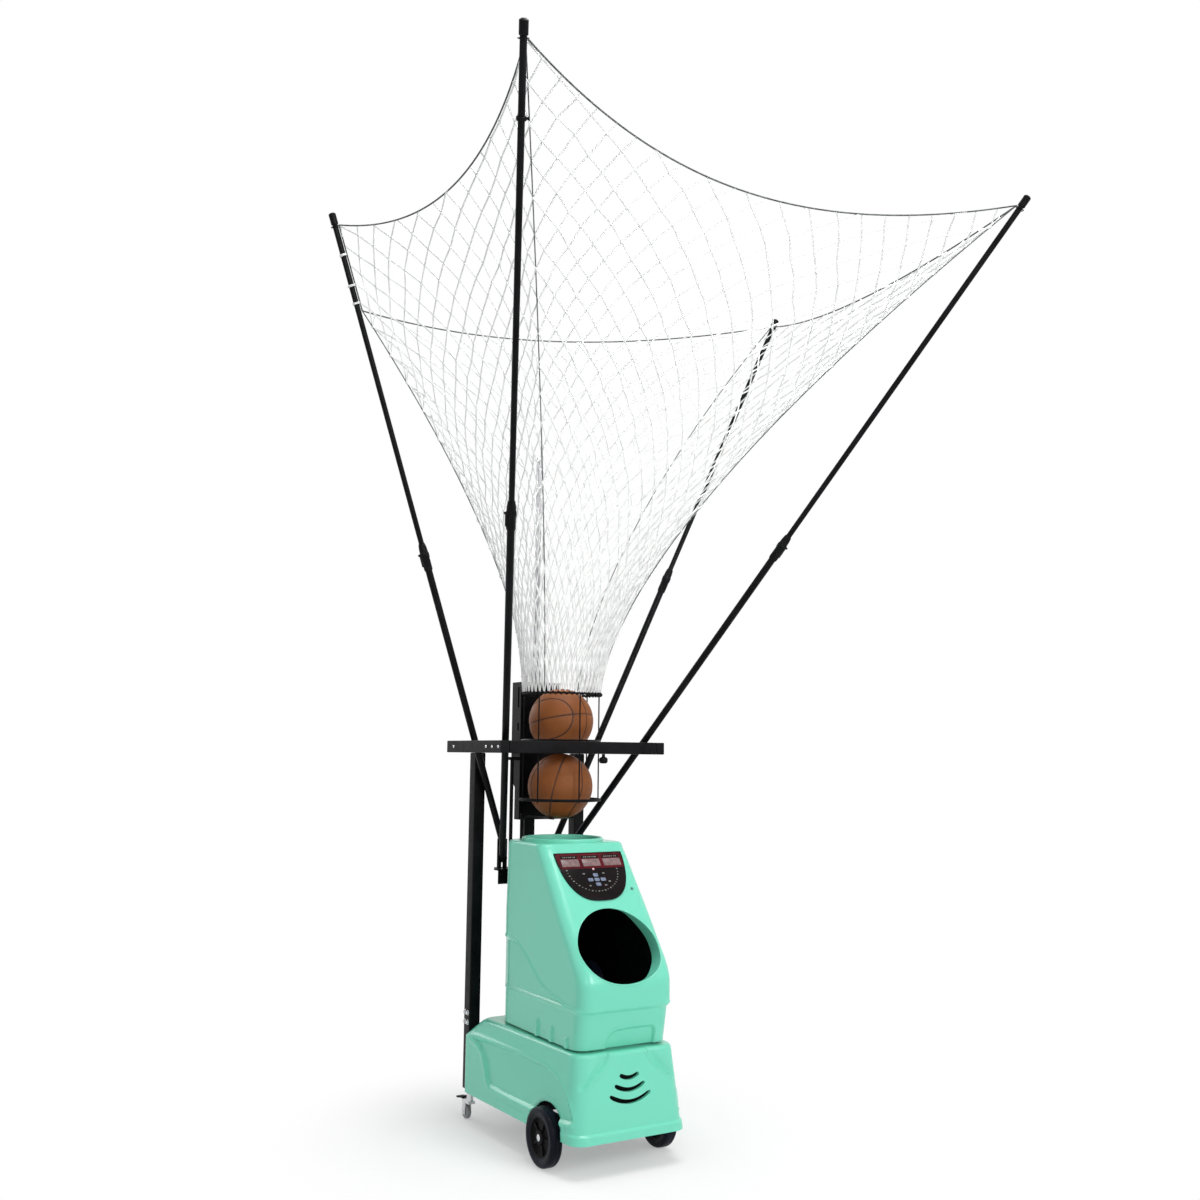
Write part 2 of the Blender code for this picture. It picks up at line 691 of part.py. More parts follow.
def make_frame_knob():
    """A hand knob under the front rail."""
    x = 0.086
    y = FRAME_FRONT + RAIL_WIDTH / 2
    top = FRAME_BOTTOM - TOUCH
    profile = [(0, top), (0.006, top), (0.006, top - 0.010), (0.013, top - 0.013), (0.016, top - 0.018)]
    profile += [(0.016, top - 0.028), (0.012, top - 0.034), (0, top - 0.035)]
    profile = [(radius, height - top) for radius, height in profile]
    pivot = empty("frame_knob_axis", (x, y, top), MACHINE)
    turned("frame_knob", profile, (x, y, top), BLACK_PLASTIC, pivot, (0, 0, 1), 12)


# Cage, feeder and balls

def hoop_path(height):
    """Round the front, then straight back to the feeder's face."""
    turn = math.degrees(math.asin(HOOP_LEG_X / HOOP_RADIUS))
    points = [(x, y, height) for x, y in arc(0, 0, HOOP_RADIUS, 90 + turn, 450 - turn, 22)]
    leg_end = FEEDER_FRONT - TOUCH
    return [(-HOOP_LEG_X, leg_end, height)] + points + [(HOOP_LEG_X, leg_end, height)]


def make_cage():
    middle = FRAME_BOTTOM + RAIL_HEIGHT + TOUCH + HOOP_WIRE_RADIUS
    hoops = [hoop_path(height) for height in (LOWER_HOOP_HEIGHT, middle, TOP_HOOP_HEIGHT)]
    cage = add("ball_cage", wire_mesh(hoops, HOOP_WIRE_RADIUS), (0, 0, 0), BLACK_STEEL)
    inside = HOOP_RADIUS - HOOP_WIRE_RADIUS - CAGE_WIRE_RADIUS + 0.0015
    wires = []
    for angle in CAGE_WIRE_ANGLES:
        x = inside * math.sin(math.radians(angle))
        y = -inside * math.cos(math.radians(angle))
        wires.append([(x, y, LOWER_HOOP_HEIGHT - 0.010), (x, y, TOP_HOOP_HEIGHT + 0.002)])
    join(cage, cutter("cage_wires", wire_mesh(wires, CAGE_WIRE_RADIUS), (0, 0, 0)))


def make_feeder():
    """The feeder's box on the mast: deep at the top for its motor, a plate below that carries the gate."""
    rear = COLUMN_Y - MAST_SIZE / 2 - TOUCH
    side = [(FEEDER_FRONT, FEEDER_BOTTOM), (FEEDER_FRONT + FEEDER_PLATE_DEPTH, FEEDER_BOTTOM)]
    side += [(FEEDER_FRONT + FEEDER_PLATE_DEPTH, FEEDER_STEP_HEIGHT - 0.03), (rear, FEEDER_STEP_HEIGHT)]
    side += [(rear, FEEDER_TOP), (FEEDER_FRONT, FEEDER_TOP)]
    shape = turn_mesh(plate_mesh(side, 2 * FEEDER_HALF_WIDTH), SIDE_VIEW)
    feeder = add("feeder_housing", shape, (0, 0, 0), BLACK_STEEL)
    wall = FEEDER_WALL
    inner_x = FEEDER_HALF_WIDTH - wall
    step = FEEDER_STEP_HEIGHT
    cut_box(feeder, "feeder_hollow", (-inner_x, FEEDER_FRONT + wall, step + wall), (inner_x, rear - wall, FEEDER_TOP - wall))
    plate_rear = FEEDER_FRONT + FEEDER_PLATE_DEPTH
    cut_box(feeder, "feeder_floor", (-0.070, plate_rear + 0.002, step - 0.050), (0.070, rear - 0.008, step + 0.020))
    for low, high in ((FEEDER_TOP - 0.100, FEEDER_TOP - 0.020), (FEEDER_TOP - 0.190, FEEDER_TOP - 0.160)):
        for edge in (-1, 1):
            x = edge * FEEDER_HALF_WIDTH
            cut_box(feeder, "side_slot", (x - 0.005, FEEDER_FRONT + 0.014, low), (x + 0.005, FEEDER_FRONT + 0.026, high))
    width, depth = NET_POST_SIZE
    foot = FEEDER_TOP + TOUCH
    post_y = 0.215
    post = box("net_post", (width, depth, NET_POST_TOP - foot), (0, post_y, (foot + NET_POST_TOP) / 2), BLACK_STEEL)
    join_box(post, "post_foot", (-width * 0.8, post_y - depth * 0.8, foot - 0.00001),
             (width * 0.8, post_y + depth * 0.8, foot + 0.100))


def make_gates():
    """Two bent fingers under the lowest ball, which swing outwards to let it drop."""
    hub_y = FEEDER_FRONT - TOUCH - GATE_HUB_RADIUS
    for side, word in ((-1, "left"), (1, "right")):
        pivot_x = side * GATE_PIVOT_X
        axis = empty("gate_" + word + "_pivot", (pivot_x, hub_y, GATE_HEIGHT), MACHINE)
        hub = rod_mesh(GATE_HUB_RADIUS, 0.024, WORLD_Z, 16)
        finger = add("gate_finger_" + word, hub, (pivot_x, hub_y, GATE_HEIGHT), BRIGHT_STEEL, axis)
        reach = [(0, 0), (-side * 0.020, -0.055), (-side * 0.032, -0.110), (-side * 0.034, -0.190)]
        path = [(x, y, 0) for x, y in reach]
        rod = wire_mesh([path], GATE_ROD_RADIUS)
        join(finger, cutter("gate_rod", rod, (pivot_x, hub_y, GATE_HEIGHT)))


def make_balls():
    lift = empty("ball_lift", (0, 0, LOWER_BALL_HEIGHT), MACHINE)
    heights = (LOWER_BALL_HEIGHT, LOWER_BALL_HEIGHT + 2 * BALL_RADIUS + TOUCH)
    for word, z in zip(("lower", "upper"), heights):
        ball = add("ball_" + word, ball_mesh(BALL_RADIUS, 20, 12), (0, 0, z), (BALL_TAN, 0.6, 0.0), lift)
        cut(ball, cutter("ball_hollow", ball_mesh(BALL_RADIUS - BALL_WALL, 12, 8), (0, 0, z)))
        valve = rod_mesh(BALL_VALVE_RADIUS, 2 * BALL_RADIUS, WORLD_X, 8)
        cut(ball, cutter("ball_valve", valve, (-BALL_RADIUS, 0, z)))
        soften(ball, 180)


def ball_mesh(radius, around, rings):
    shape = bmesh.new()
    bmesh.ops.create_uvsphere(shape, u_segments=around, v_segments=rings, radius=radius)
    return mesh_of(shape)


def make_conduits(cover):
    """Two pipes that carry the feeder's cables up from inside the base, with a clamp bar to the feeder."""
    low = COVER_TOP - 0.050
    bar_height = FRAME_BOTTOM - 0.020
    outer_x, outer_y = OUTER_CONDUIT
    inner_x, inner_y = INNER_CONDUIT
    outer = [(outer_x, outer_y, low), (outer_x, outer_y, bar_height)]
    pipe = add("outer_conduit", wire_mesh([outer], CONDUIT_RADIUS, 12), (0, 0, 0), BLACK_STEEL)
    join_box(pipe, "clamp_bar", (-0.132, 0.169, bar_height - 0.007), (-FEEDER_HALF_WIDTH - TOUCH, 0.181, bar_height + 0.005))
    inner = [(inner_x, inner_y, low), (inner_x, inner_y, FEEDER_BOTTOM - TOUCH)]
    add("inner_conduit", wire_mesh([inner], CONDUIT_RADIUS, 12), (0, 0, 0), BLACK_STEEL)
    for x, y in (OUTER_CONDUIT, INNER_CONDUIT):
        hole = rod_mesh(CONDUIT_RADIUS + RUNNING, 0.2, WORLD_Z, 12)
        cut(cover, cutter("conduit_hole", hole, (x, y, COVER_TOP)))


# Launcher

TURRET = empty("launcher_axis", (0, 0, HULL_BOTTOM), MACHINE)
SLOPE = math.atan2(FACE_TOP_Y - FACE_FOOT_Y, FACE_TOP_Z - FACE_FOOT_Z)


def hull_front(height):
    """Where the launcher's front is at a height: nose, sloping face, rounded top."""
    if height > FACE_TOP_Z:
        return FACE_TOP_Y + 0.020 * between(height, FACE_TOP_Z, HULL_TOP) ** 0.5
    if height > FACE_FOOT_Z:
        return blend(FACE_FOOT_Y, FACE_TOP_Y, between(height, FACE_FOOT_Z, FACE_TOP_Z))
    if height > HULL_STEP_HEIGHT:
        return blend(HULL_NOSE, FACE_FOOT_Y, between(height, FACE_FOOT_Z - 0.06, FACE_FOOT_Z) ** 1.5)
    return HULL_NOSE + HULL_STEP + 0.025 * (1 - between(height, HULL_BOTTOM, HULL_STEP_HEIGHT))


def hull_outline(height, inset):
    half = blend(HULL_HALF_WIDTH, HULL_HALF_WIDTH - 0.006, between(height, 0.8, HULL_TOP)) - inset
    if height < HULL_STEP_HEIGHT:
        half -= 0.004
    edge = 0.012 * between(height, HULL_TOP - 0.012, HULL_TOP) ** 2
    return plan_outline(hull_front(height) + inset + edge, HULL_REAR - inset - edge, half - edge, half - edge,
                        HULL_FRONT_CORNER - inset, HULL_REAR_CORNER - inset, 5)


def hull_levels(inset, bottom, top):
    heights = [HULL_BOTTOM, HULL_STEP_HEIGHT - 0.001, HULL_STEP_HEIGHT + 0.001, FACE_FOOT_Z - 0.06, FACE_FOOT_Z - 0.02]
    if bottom < HULL_BOTTOM:
        heights.insert(0, bottom)
    heights += [FACE_FOOT_Z, FACE_TOP_Z, top - 0.010, top - 0.004, top]
    return [(height, hull_outline(max(height, HULL_BOTTOM), inset)) for height in heights]


def on_face(across, down, out):
    """A point on the sloping front face: across it, down the slope from its top, and out of it."""
    y = FACE_TOP_Y - down * math.sin(SLOPE) - out * math.cos(SLOPE)
    z = FACE_TOP_Z - down * math.cos(SLOPE) + out * math.sin(SLOPE)
    return Vector((across, y, z))


# Takes a plate drawn in X and Y onto the sloping face: X across, Y up the slope, its thickness out of it
FACE_TURN = Matrix.Rotation(math.radians(90) - SLOPE, 3, "X")


# The mouth's outline lies in the sloping face, and its sleeve runs level to the rear
MOUTH_TURN = FACE_TURN.copy()
MOUTH_TURN.col[2] = Vector((0, -1, 0))


def mouth_outline(grow):
    """The ball's way out: an egg, wider below."""
    points = []
    for i in range(28):
        a = 2 * math.pi * i / 28
        wide = 1.0 - 0.07 * math.sin(a)
        points.append(((MOUTH_HALF_WIDTH + grow) * wide * math.cos(a), (MOUTH_HALF_HEIGHT + grow) * math.sin(a)))
    return points


def side_recess_outline():
    """The lower side of the hull, below an S-shaped line that falls from the rear to the front."""
    points = [(HULL_REAR + 0.05, HULL_BOTTOM - 0.02), (HULL_REAR + 0.05, 0.700), (0.060, 0.698)]
    for i in range(9):
        share = i / 8
        drop = (1 - math.cos(math.pi * share)) / 2
        points.append((blend(0.020, -0.300, share), blend(0.692, 0.545, drop)))
    points += [(-0.420, HULL_STEP_HEIGHT), (HULL_NOSE - 0.05, HULL_STEP_HEIGHT), (HULL_NOSE - 0.05, HULL_BOTTOM - 0.02)]
    return points


def make_hull():
    hull = add("hull", loft_mesh(hull_levels(0, HULL_BOTTOM, HULL_TOP)), (0, 0, 0), MINT_SHELL, TURRET)
    hollow = loft_mesh(hull_levels(HULL_WALL, HULL_BOTTOM - 0.05, HULL_TOP - HULL_WALL))
    cut(hull, cutter("hull_hollow", hollow, (0, 0, 0)))
    centre = on_face(0, MOUTH_DROP, 0)
    sleeve = turn_mesh(plate_mesh(mouth_outline(0.004), 2 * MOUTH_SLEEVE), MOUTH_TURN)
    sleeve = cutter("mouth_sleeve", sleeve, centre)
    solid = cutter("hull_solid", loft_mesh(hull_levels(0.0005, HULL_BOTTOM, HULL_TOP)), (0, 0, 0))
    boolean(sleeve, solid, "INTERSECT")
    join(hull, sleeve)
    mouth = turn_mesh(plate_mesh(mouth_outline(0), 0.2), MOUTH_TURN)
    cut(hull, cutter("mouth_opening", mouth, centre))
    for side in (-1, 1):
        low_x, high_x = sorted((side * 0.150, side * (HULL_HALF_WIDTH - 0.007)))
        join_box(hull, "hull_foot", (low_x, -0.060, HULL_BOTTOM + 0.00001), (high_x, 0.060, HULL_BOTTOM + 0.005))
    for side in (-1, 1):
        face = HULL_HALF_WIDTH - 0.004
        for y, top in SIDE_RIBS:
            low_x, high_x = sorted((side * (face - 0.002), side * (face + RIB_HEIGHT)))
            join_box(hull, "side_rib", (low_x, y - RIB_HALF_WIDTH, HULL_BOTTOM + 0.002), (high_x, y + RIB_HALF_WIDTH, top))
    grip = turn_mesh(plate_mesh(GRIP_OUTLINE, 0.2), FRONT_VIEW)
    grip = cutter("grip_field", grip, (0, HULL_NOSE, 0))
    core = loft_mesh(hull_levels(GRIP_DEPTH, HULL_BOTTOM - 0.05, HULL_TOP))
    cut(grip, cutter("grip_core", core, (0, 0, 0)))
    cut(hull, grip)
    hole = rod_mesh(HOPPER_RADIUS + HOPPER_WALL + 0.0006, 0.1, WORLD_Z, 32)
    cut(hull, cutter("hopper_hole", hole, (0, HOPPER_Y, HULL_TOP)))
    for side in (-1, 1):
        recess = turn_mesh(plate_mesh(side_recess_outline(), 0.04), SIDE_VIEW)
        cut(hull, cutter("side_recess", recess, (side * (HULL_HALF_WIDTH + 0.02 - 0.0022), 0, 0)))
    return even_shading(hull)


def make_hopper():
    """The collar that the ball drops through, moulded in one with the tube below it."""
    inner = HOPPER_RADIUS
    outer = HOPPER_RADIUS + HOPPER_WALL
    rest = HULL_TOP + TOUCH
    profile = [(inner + 0.001, rest + 0.012), (outer + HOPPER_LIP - 0.003, rest + 0.012), (outer + HOPPER_LIP, rest + 0.008)]
    profile += [(outer + HOPPER_LIP, rest), (outer, rest), (outer, HOPPER_FOOT), (inner, HOPPER_FOOT), (inner, rest + 0.009)]
    turned("hopper_collar", profile, (0, HOPPER_Y, 0), MINT_SHELL, TURRET, (0, 0, 1), 32)


def make_turntable():
    """A fixed ring on the cover and a turning plate on it that carries the launcher."""
    low = COVER_TOP + TOUCH
    middle = (COVER_TOP + HULL_BOTTOM) / 2
    ring = TURNTABLE_RADIUS
    profile = [(ring, middle), (ring, low), (ring - 0.030, low), (ring - 0.030, middle)]
    turned("turntable_ring", profile, (0, 0, 0), BRIGHT_STEEL, None, (0, 0, 1), 24)
    top = HULL_BOTTOM - TOUCH
    profile = [(0, top), (ring + 0.012, top), (ring + 0.012, middle + TOUCH), (0, middle + TOUCH)]
    return turned("turntable_plate", profile, (0, 0, 0), BLACK_STEEL, TURRET, (0, 0, 1), 24)


def make_thrower(stand):
    """Twin throwing wheels on one shaft, between two bearing plates on the turntable, their motor behind."""
    floor = HULL_BOTTOM
    plate_x = 0.112
    low = Vector((-plate_x - 0.006, THROW_Y - 0.034, floor - 0.004))
    join_box(stand, "plate_nose", low, (plate_x + 0.006, -0.010, floor - TOUCH * 2))
    for side in (-1, 1):
        x = side * plate_x
        low = (x - 0.004, THROW_Y - 0.030, floor - 0.003)
        join_box(stand, "bearing_plate", low, (x + 0.004, THROW_Y + 0.030, THROW_Z + 0.025))
    bore = rod_mesh(THROW_SHAFT_RADIUS + TOUCH, 0.4, WORLD_X, 16)
    cut(stand, cutter("shaft_bore", bore, (0, THROW_Y, THROW_Z)))
    axis = empty("throw_axis", (0, THROW_Y, THROW_Z), TURRET)
    shaft = THROW_SHAFT_RADIUS
    tyre = THROW_WHEEL_RADIUS
    half = THROW_WHEEL_WIDTH / 2
    profile = [(0, plate_x + 0.012), (shaft, plate_x + 0.012)]
    for centre in (THROW_WHEEL_X, -THROW_WHEEL_X):
        profile += [(shaft, centre + half), (tyre - 0.008, centre + half), (tyre, centre + half - 0.006)]
        profile += [(tyre, centre - half + 0.006), (tyre - 0.008, centre - half), (shaft, centre - half)]
    profile += [(shaft, -plate_x - 0.012), (0, -plate_x - 0.012)]
    turned("throwing_wheels", profile, (0, THROW_Y, THROW_Z), TYRE, axis, (1, 0, 0), 20)
    motor = rod_mesh(0.036, 0.130, WORLD_X, 20)
    motor_z = floor + 0.036
    soften(add("throwing_motor", motor, (0, 0.030, motor_z), BRIGHT_STEEL, TURRET))


def panel_outline():
    """A D on its back: straight along the top, round below."""
    steps = 20
    points = [(-PANEL_HALF_WIDTH, 0.0), (PANEL_HALF_WIDTH, 0.0)]
    for i in range(1, steps):
        a = math.pi * i / steps
        x = PANEL_HALF_WIDTH * math.copysign(abs(math.cos(a)) ** 0.7, math.cos(a))
        points.append((x, -PANEL_LENGTH * math.sin(a) ** 0.95))
    return points


def key_places():
    """Keys as a cross, as (word, across, down)."""
    across, down = KEY_SPACING
    return (("up", 0, KEY_DROP - down), ("left", -across, KEY_DROP), ("start", 0, KEY_DROP),
            ("right", across, KEY_DROP), ("down", 0, KEY_DROP + down))


def face_box(size, across, down, out):
    """A cutter that stands square to the sloping face."""
    mesh = turn_mesh(box_mesh(size), FACE_TURN)
    return cutter("face_cutter", mesh, on_face(across, down, out))


def make_panel():
    sheet = turn_mesh(plate_mesh(panel_outline(), PANEL_THICKNESS), FACE_TURN)
    middle = TOUCH + PANEL_THICKNESS / 2
    panel = add("control_panel", sheet, on_face(0, PANEL_DROP, middle), (PANEL_RED, 0.25, 0.0), TURRET)
    width, height = KEY_SIZE
    for word, across, down in key_places():
        cut(panel, face_box((width + 2 * RUNNING, height + 2 * RUNNING, 0.02), across, down, middle))
        axis = empty("key_" + word + "_axis", on_face(across, down, middle), TURRET)
        cap = turn_mesh(box_mesh((width, height, PANEL_THICKNESS)), FACE_TURN)
        add("key_" + word, cap, on_face(across, down, middle + KEY_STAND_OFF), (KEY_BLUE, 0.4, 0.0), axis)
    glass_out = TOUCH + PANEL_THICKNESS + TOUCH + 0.0005
    for count, word in ((-1, "left"), (0, "middle"), (1, "right")):
        window = turn_mesh(box_mesh((*DISPLAY_SIZE, 0.001)), FACE_TURN)
        place = on_face(count * DISPLAY_SPACING, DISPLAY_DROP, glass_out)
        add("display_" + word, window, place, (DISPLAY_GREY, 0.2, 0.0), TURRET)
    lens = turn_mesh(rod_mesh(LAMP_RADIUS, 0.002, WORLD_Z, 16), FACE_TURN)
    add("status_lamp", lens, on_face(0, LAMP_DROP, glass_out + 0.0005), (WHITE, 0.3, 0.0), TURRET)


# Poles

def mirrored(point, side):
    return Vector((-side * point.x, point.y, point.z))


def pole_ends(place, side):
    """Pivot and top of a pole; side is -1 on the left and 1 on the right."""
    pivot, top = (FRONT_PIVOT, FRONT_TOP) if place == "front" else (REAR_PIVOT, REAR_TOP)
    return mirrored(pivot, side), mirrored(top, side)


def fold_axis(pivot, top):
    """The level axis that a pole's pivot pin lies on."""
    run = top - pivot
    return Vector((-run.y, run.x, 0)).normalized()


def tube_profile(outer, wall, low, high):
    return [(outer, high), (outer, low), (outer - wall, low), (outer - wall, high)]


def make_pole(place, word, side):
    pivot, top = pole_ends(place, side)
    along = (top - pivot).normalized()
    length = (top - pivot).length
    share = FRONT_COLLAR_SHARE if place == "front" else REAR_COLLAR_SHARE
    joint_at = length * share
    name = place + "_" + word
    fold = empty("pole_" + name + "_pivot", pivot, MACHINE)
    lower = LOWER_POLE_RADIUS
    upper = UPPER_POLE_RADIUS
    tube = turned("lower_pole_" + name, tube_profile(lower, POLE_WALL, -POLE_TAIL, joint_at), pivot, BLACK_STEEL, fold,
                  along, 16)
    pin_length = 2 * (lower + RUNNING + EAR_THICKNESS) + 0.004
    join(tube, cutter("pivot_pin", rod_mesh(PIN_RADIUS, pin_length, fold_axis(pivot, top), 12), pivot))
    fit = lower + TOUCH
    guide = upper + TOUCH
    low = joint_at - COLLAR_LENGTH * 0.6
    high = joint_at + COLLAR_LENGTH * 0.4
    profile = [(guide + 0.003, high), (COLLAR_RADIUS, high - 0.022), (COLLAR_RADIUS, low + 0.022), (fit + 0.0015, low)]
    profile += [(fit, low), (fit, joint_at + TOUCH), (guide, joint_at + TOUCH), (guide, high)]
    turned("collar_" + name, profile, pivot, BLACK_PLASTIC, fold, along, 16)
    slide = empty("pole_" + name + "_slide", pivot, fold)
    bottom = joint_at - POLE_OVERLAP
    crown = length
    profile = [(0, crown), (upper * 0.7, crown), (upper + 0.003, crown - 0.004), (upper + 0.003, crown - 0.040)]
    profile += [(upper, crown - 0.042), (upper, bottom), (upper - POLE_WALL, bottom), (upper - POLE_WALL, crown - 0.010)]
    profile += [(0, crown - 0.010)]
    turned_rod("upper_pole_" + name, profile, pivot, along, slide)


def turned_rod(name, profile, centre, along, parent):
    """A turned piece whose profile starts and ends on the axis, hollow from below."""
    return turned(name, profile, centre, BLACK_STEEL, parent, along, 16)


def make_poles():
    for side, word in ((-1, "left"), (1, "right")):
        make_pole("front", word, side)
        make_pole("rear", word, side)


def ear_box(place, side, ear, clearance):
    """One ear of a pole's clevis, as a mesh and its centre."""
    pivot, top = pole_ends(place, side)
    axis = fold_axis(pivot, top)
    low = SHELF_BOTTOM + SHELF_THICKNESS * 0.5
    high = pivot.z + EAR_HALF_WIDTH
    mesh = box_mesh((EAR_THICKNESS, 2 * EAR_HALF_WIDTH, high - low))
    spin = math.atan2(axis.y, axis.x)
    mesh.transform(Matrix.Rotation(spin, 4, "Z"))
    away = LOWER_POLE_RADIUS + RUNNING + EAR_THICKNESS / 2 + clearance
    middle = pivot + axis * ear * away
    return mesh, (middle.x, middle.y, (low + high) / 2)


def make_bracket():
    """A shelf on the mast with a clevis for each pole."""
    front = 0.189
    rear = COLUMN_Y + 0.010
    half = 0.160
    top = SHELF_BOTTOM + SHELF_THICKNESS
    centre = (0, (front + rear) / 2, (SHELF_BOTTOM + top) / 2)
    bracket = add("pole_bracket", box_mesh((2 * half, rear - front, SHELF_THICKNESS)), centre, BLACK_STEEL)
    join_box(bracket, "front_flange", (-half, front, SHELF_BOTTOM - 0.050), (half, front + 0.004, top - 0.001))
    cut_box(bracket, "swing_room", (-0.105, front - 0.01, SHELF_BOTTOM - 0.06), (0.105, 0.202, top + 0.01))
    for side in (-1, 1):
        low_x, high_x = sorted((side * (half - 0.023), side * (half + 0.01)))
        cut_box(bracket, "shelf_corner", (low_x, 0.228, SHELF_BOTTOM - 0.01), (high_x, rear + 0.01, top + 0.01))
    slot_x, slot_y = INNER_CONDUIT
    cut_box(bracket, "conduit_slot", (slot_x - 0.009, front - 0.02, SHELF_BOTTOM - 0.06), (slot_x + 0.009, slot_y + 0.009, top + 0.01))
    notch = MAST_SIZE / 2 + TOUCH
    cut_box(bracket, "mast_slot", (-notch, COLUMN_Y - notch, SHELF_BOTTOM - 0.01), (notch, rear + 0.05, top + 0.01))
    for side in (-1, 1):
        for place in ("front", "rear"):
            for ear in (-1, 1):
                mesh, middle = ear_box(place, side, ear, 0)
                join(bracket, cutter("ear", mesh, middle))
    for side in (-1, 1):
        for place in ("front", "rear"):
            pivot, top_point = pole_ends(place, side)
            bore = rod_mesh(PIN_RADIUS + TOUCH, 0.08, fold_axis(pivot, top_point), 12)
            cut(bracket, cutter("ear_bore", bore, pivot))
    return bracket


# Net

def pole_point(place, side, drop):
    """A point on the net side of a pole, a distance below its top."""
    pivot, top = pole_ends(place, side)
    along = (top - pivot).normalized()
    on_axis = top - along * drop
    inward = Vector((0, -0.5, on_axis.z)) - on_axis
    inward -= along * inward.dot(along)
    inward.normalize()
    away = UPPER_POLE_RADIUS + TOUCH + NET_CORD * 0.46
    return on_axis + inward * away


def rope(start, end, sag, share):
    """A rope between two corners that hangs in and down by its sag at the middle."""
    return start.lerp(end, share) + sag * 4 * share * (1 - share)


def rim_points():
    """The net's rim, as two points for each column of gaps, from the front left corner round."""
    front_left = pole_point("front", -1, NET_CORNER_DROP)
    front_right = pole_point("front", 1, NET_CORNER_DROP)
    rear_right_top = pole_point("rear", 1, NET_CORNER_DROP)
    rear_right = pole_point("rear", 1, NET_CORNER_DROP)
    rear_left = pole_point("rear", -1, NET_LACING)
    rear_left_top = pole_point("rear", -1, NET_CORNER_DROP)
    mirror_sag = Vector((-SIDE_SAG.x, SIDE_SAG.y, SIDE_SAG.z))
    sides = [(front_left, front_right, FRONT_SAG, 6), (front_right, rear_right_top, mirror_sag, 4),
             (rear_right, rear_left, REAR_SAG, 5), (rear_left, rear_left_top, Vector(), 1),
             (rear_left_top, front_left, SIDE_SAG, 4)]
    points = []
    for start, end, sag, columns in sides:
        for i in range(2 * columns):
            points.append(rope(start, end, sag, i / (2 * columns)))
    return points


def throat_point(step):
    """A point on the net's lower edge, just above the cage's top hoop; 40 half columns round."""
    angle = math.radians(-144 + 360 * step / (2 * NET_COLUMNS))
    radius = HOOP_RADIUS
    z = TOP_HOOP_HEIGHT + HOOP_WIRE_RADIUS + TOUCH + NET_CORD * 0.75
    return Vector((radius * math.cos(angle), radius * math.sin(angle), z))


def make_net():
    """Knotted cord in diamonds, hung from the poles down to the cage."""
    rim = rim_points()
    shape = bmesh.new()
    rows = []
    for row in range(NET_ROWS + 1):
        rise = (row / NET_ROWS) ** NET_ROW_GROWTH
        spread = rise ** NET_FLARE
        shift = (NET_ROWS - row) % 2
        verts = []
        for column in range(NET_COLUMNS):
            step = 2 * column + shift
            low = throat_point(step)
            high = rim[step]
            point = low.lerp(high, spread)
            point.z = blend(low.z, high.z, rise)
            verts.append(shape.verts.new(point))
        rows.append(verts)
    for row in range(NET_ROWS - 1):
        shift = (NET_ROWS - row) % 2
        for column in range(NET_COLUMNS):
            left = rows[row + 1][(column - 1 + shift) % NET_COLUMNS]
            right = rows[row + 1][(column + shift) % NET_COLUMNS]
            shape.faces.new((rows[row][column], right, rows[row + 2][column], left))
    for column in range(NET_COLUMNS):
        shift = NET_ROWS % 2
        peak = rows[1][(column + shift) % NET_COLUMNS]
        shape.faces.new((rows[0][column], rows[0][(column + 1) % NET_COLUMNS], peak))
        foot = rows[NET_ROWS - 1][column]
        top = rows[NET_ROWS]
        shape.faces.new((top[(column + 1) % NET_COLUMNS], top[column], foot))
    mesh = mesh_of(shape)
    net = add("ball_net", mesh, (0, 0, 0), (WHITE, 0.8, 0.0))
    cords = net.modifiers.new("cords", "WIREFRAME")
    cords.thickness = NET_CORD
    cords.use_replace = True
    cords.use_boundary = True
    cords.use_even_offset = False
    return net


def centre_origin():
    """Move the machine so that its footprint's middle is at the origin."""
    bpy.context.view_layer.update()
    graph = bpy.context.evaluated_depsgraph_get()
    low = Vector((1e9, 1e9, 1e9))
    high = -low
    for obj in PARTS.objects:
        if obj.type != "MESH":
            continue
        shape = obj.evaluated_get(graph)
        for vertex in shape.to_mesh().vertices:
            place = shape.matrix_world @ vertex.co
            low = Vector(map(min, low, place))
            high = Vector(map(max, high, place))
        shape.to_mesh_clear()
    MACHINE.location = (-(low.x + high.x) / 2, -(low.y + high.y) / 2, -low.z)
    print("Size in metres:", [round(side, 3) for side in high - low])


base_cover = make_base_cover()
make_rear_sockets()
make_chassis()
make_front_wheels()
make_casters()
make_columns()
make_top_frame()
make_frame_knob()
make_cage()
make_feeder()
make_gates()
make_balls()
make_conduits(base_cover)
even_shading(base_cover)
make_hull()
make_hopper()
make_thrower(make_turntable())
make_panel()
make_poles()
make_bracket()
make_net()
centre_origin()
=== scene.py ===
# %% [markdown]
# # A basketball shooting machine
#
# The machine's solids come in as a frame. Around them this script makes what the eye sees: moulded
# mint shells, powder-coated steel, pebbled balls, a knotted net and the small fittings. Each step first says
# what the real piece is, how it could be made, and why one way was chosen.

# %% Load the frame
import json
import math
import random

import bmesh
import bpy
import numpy as np
from mathutils import Matrix, Vector


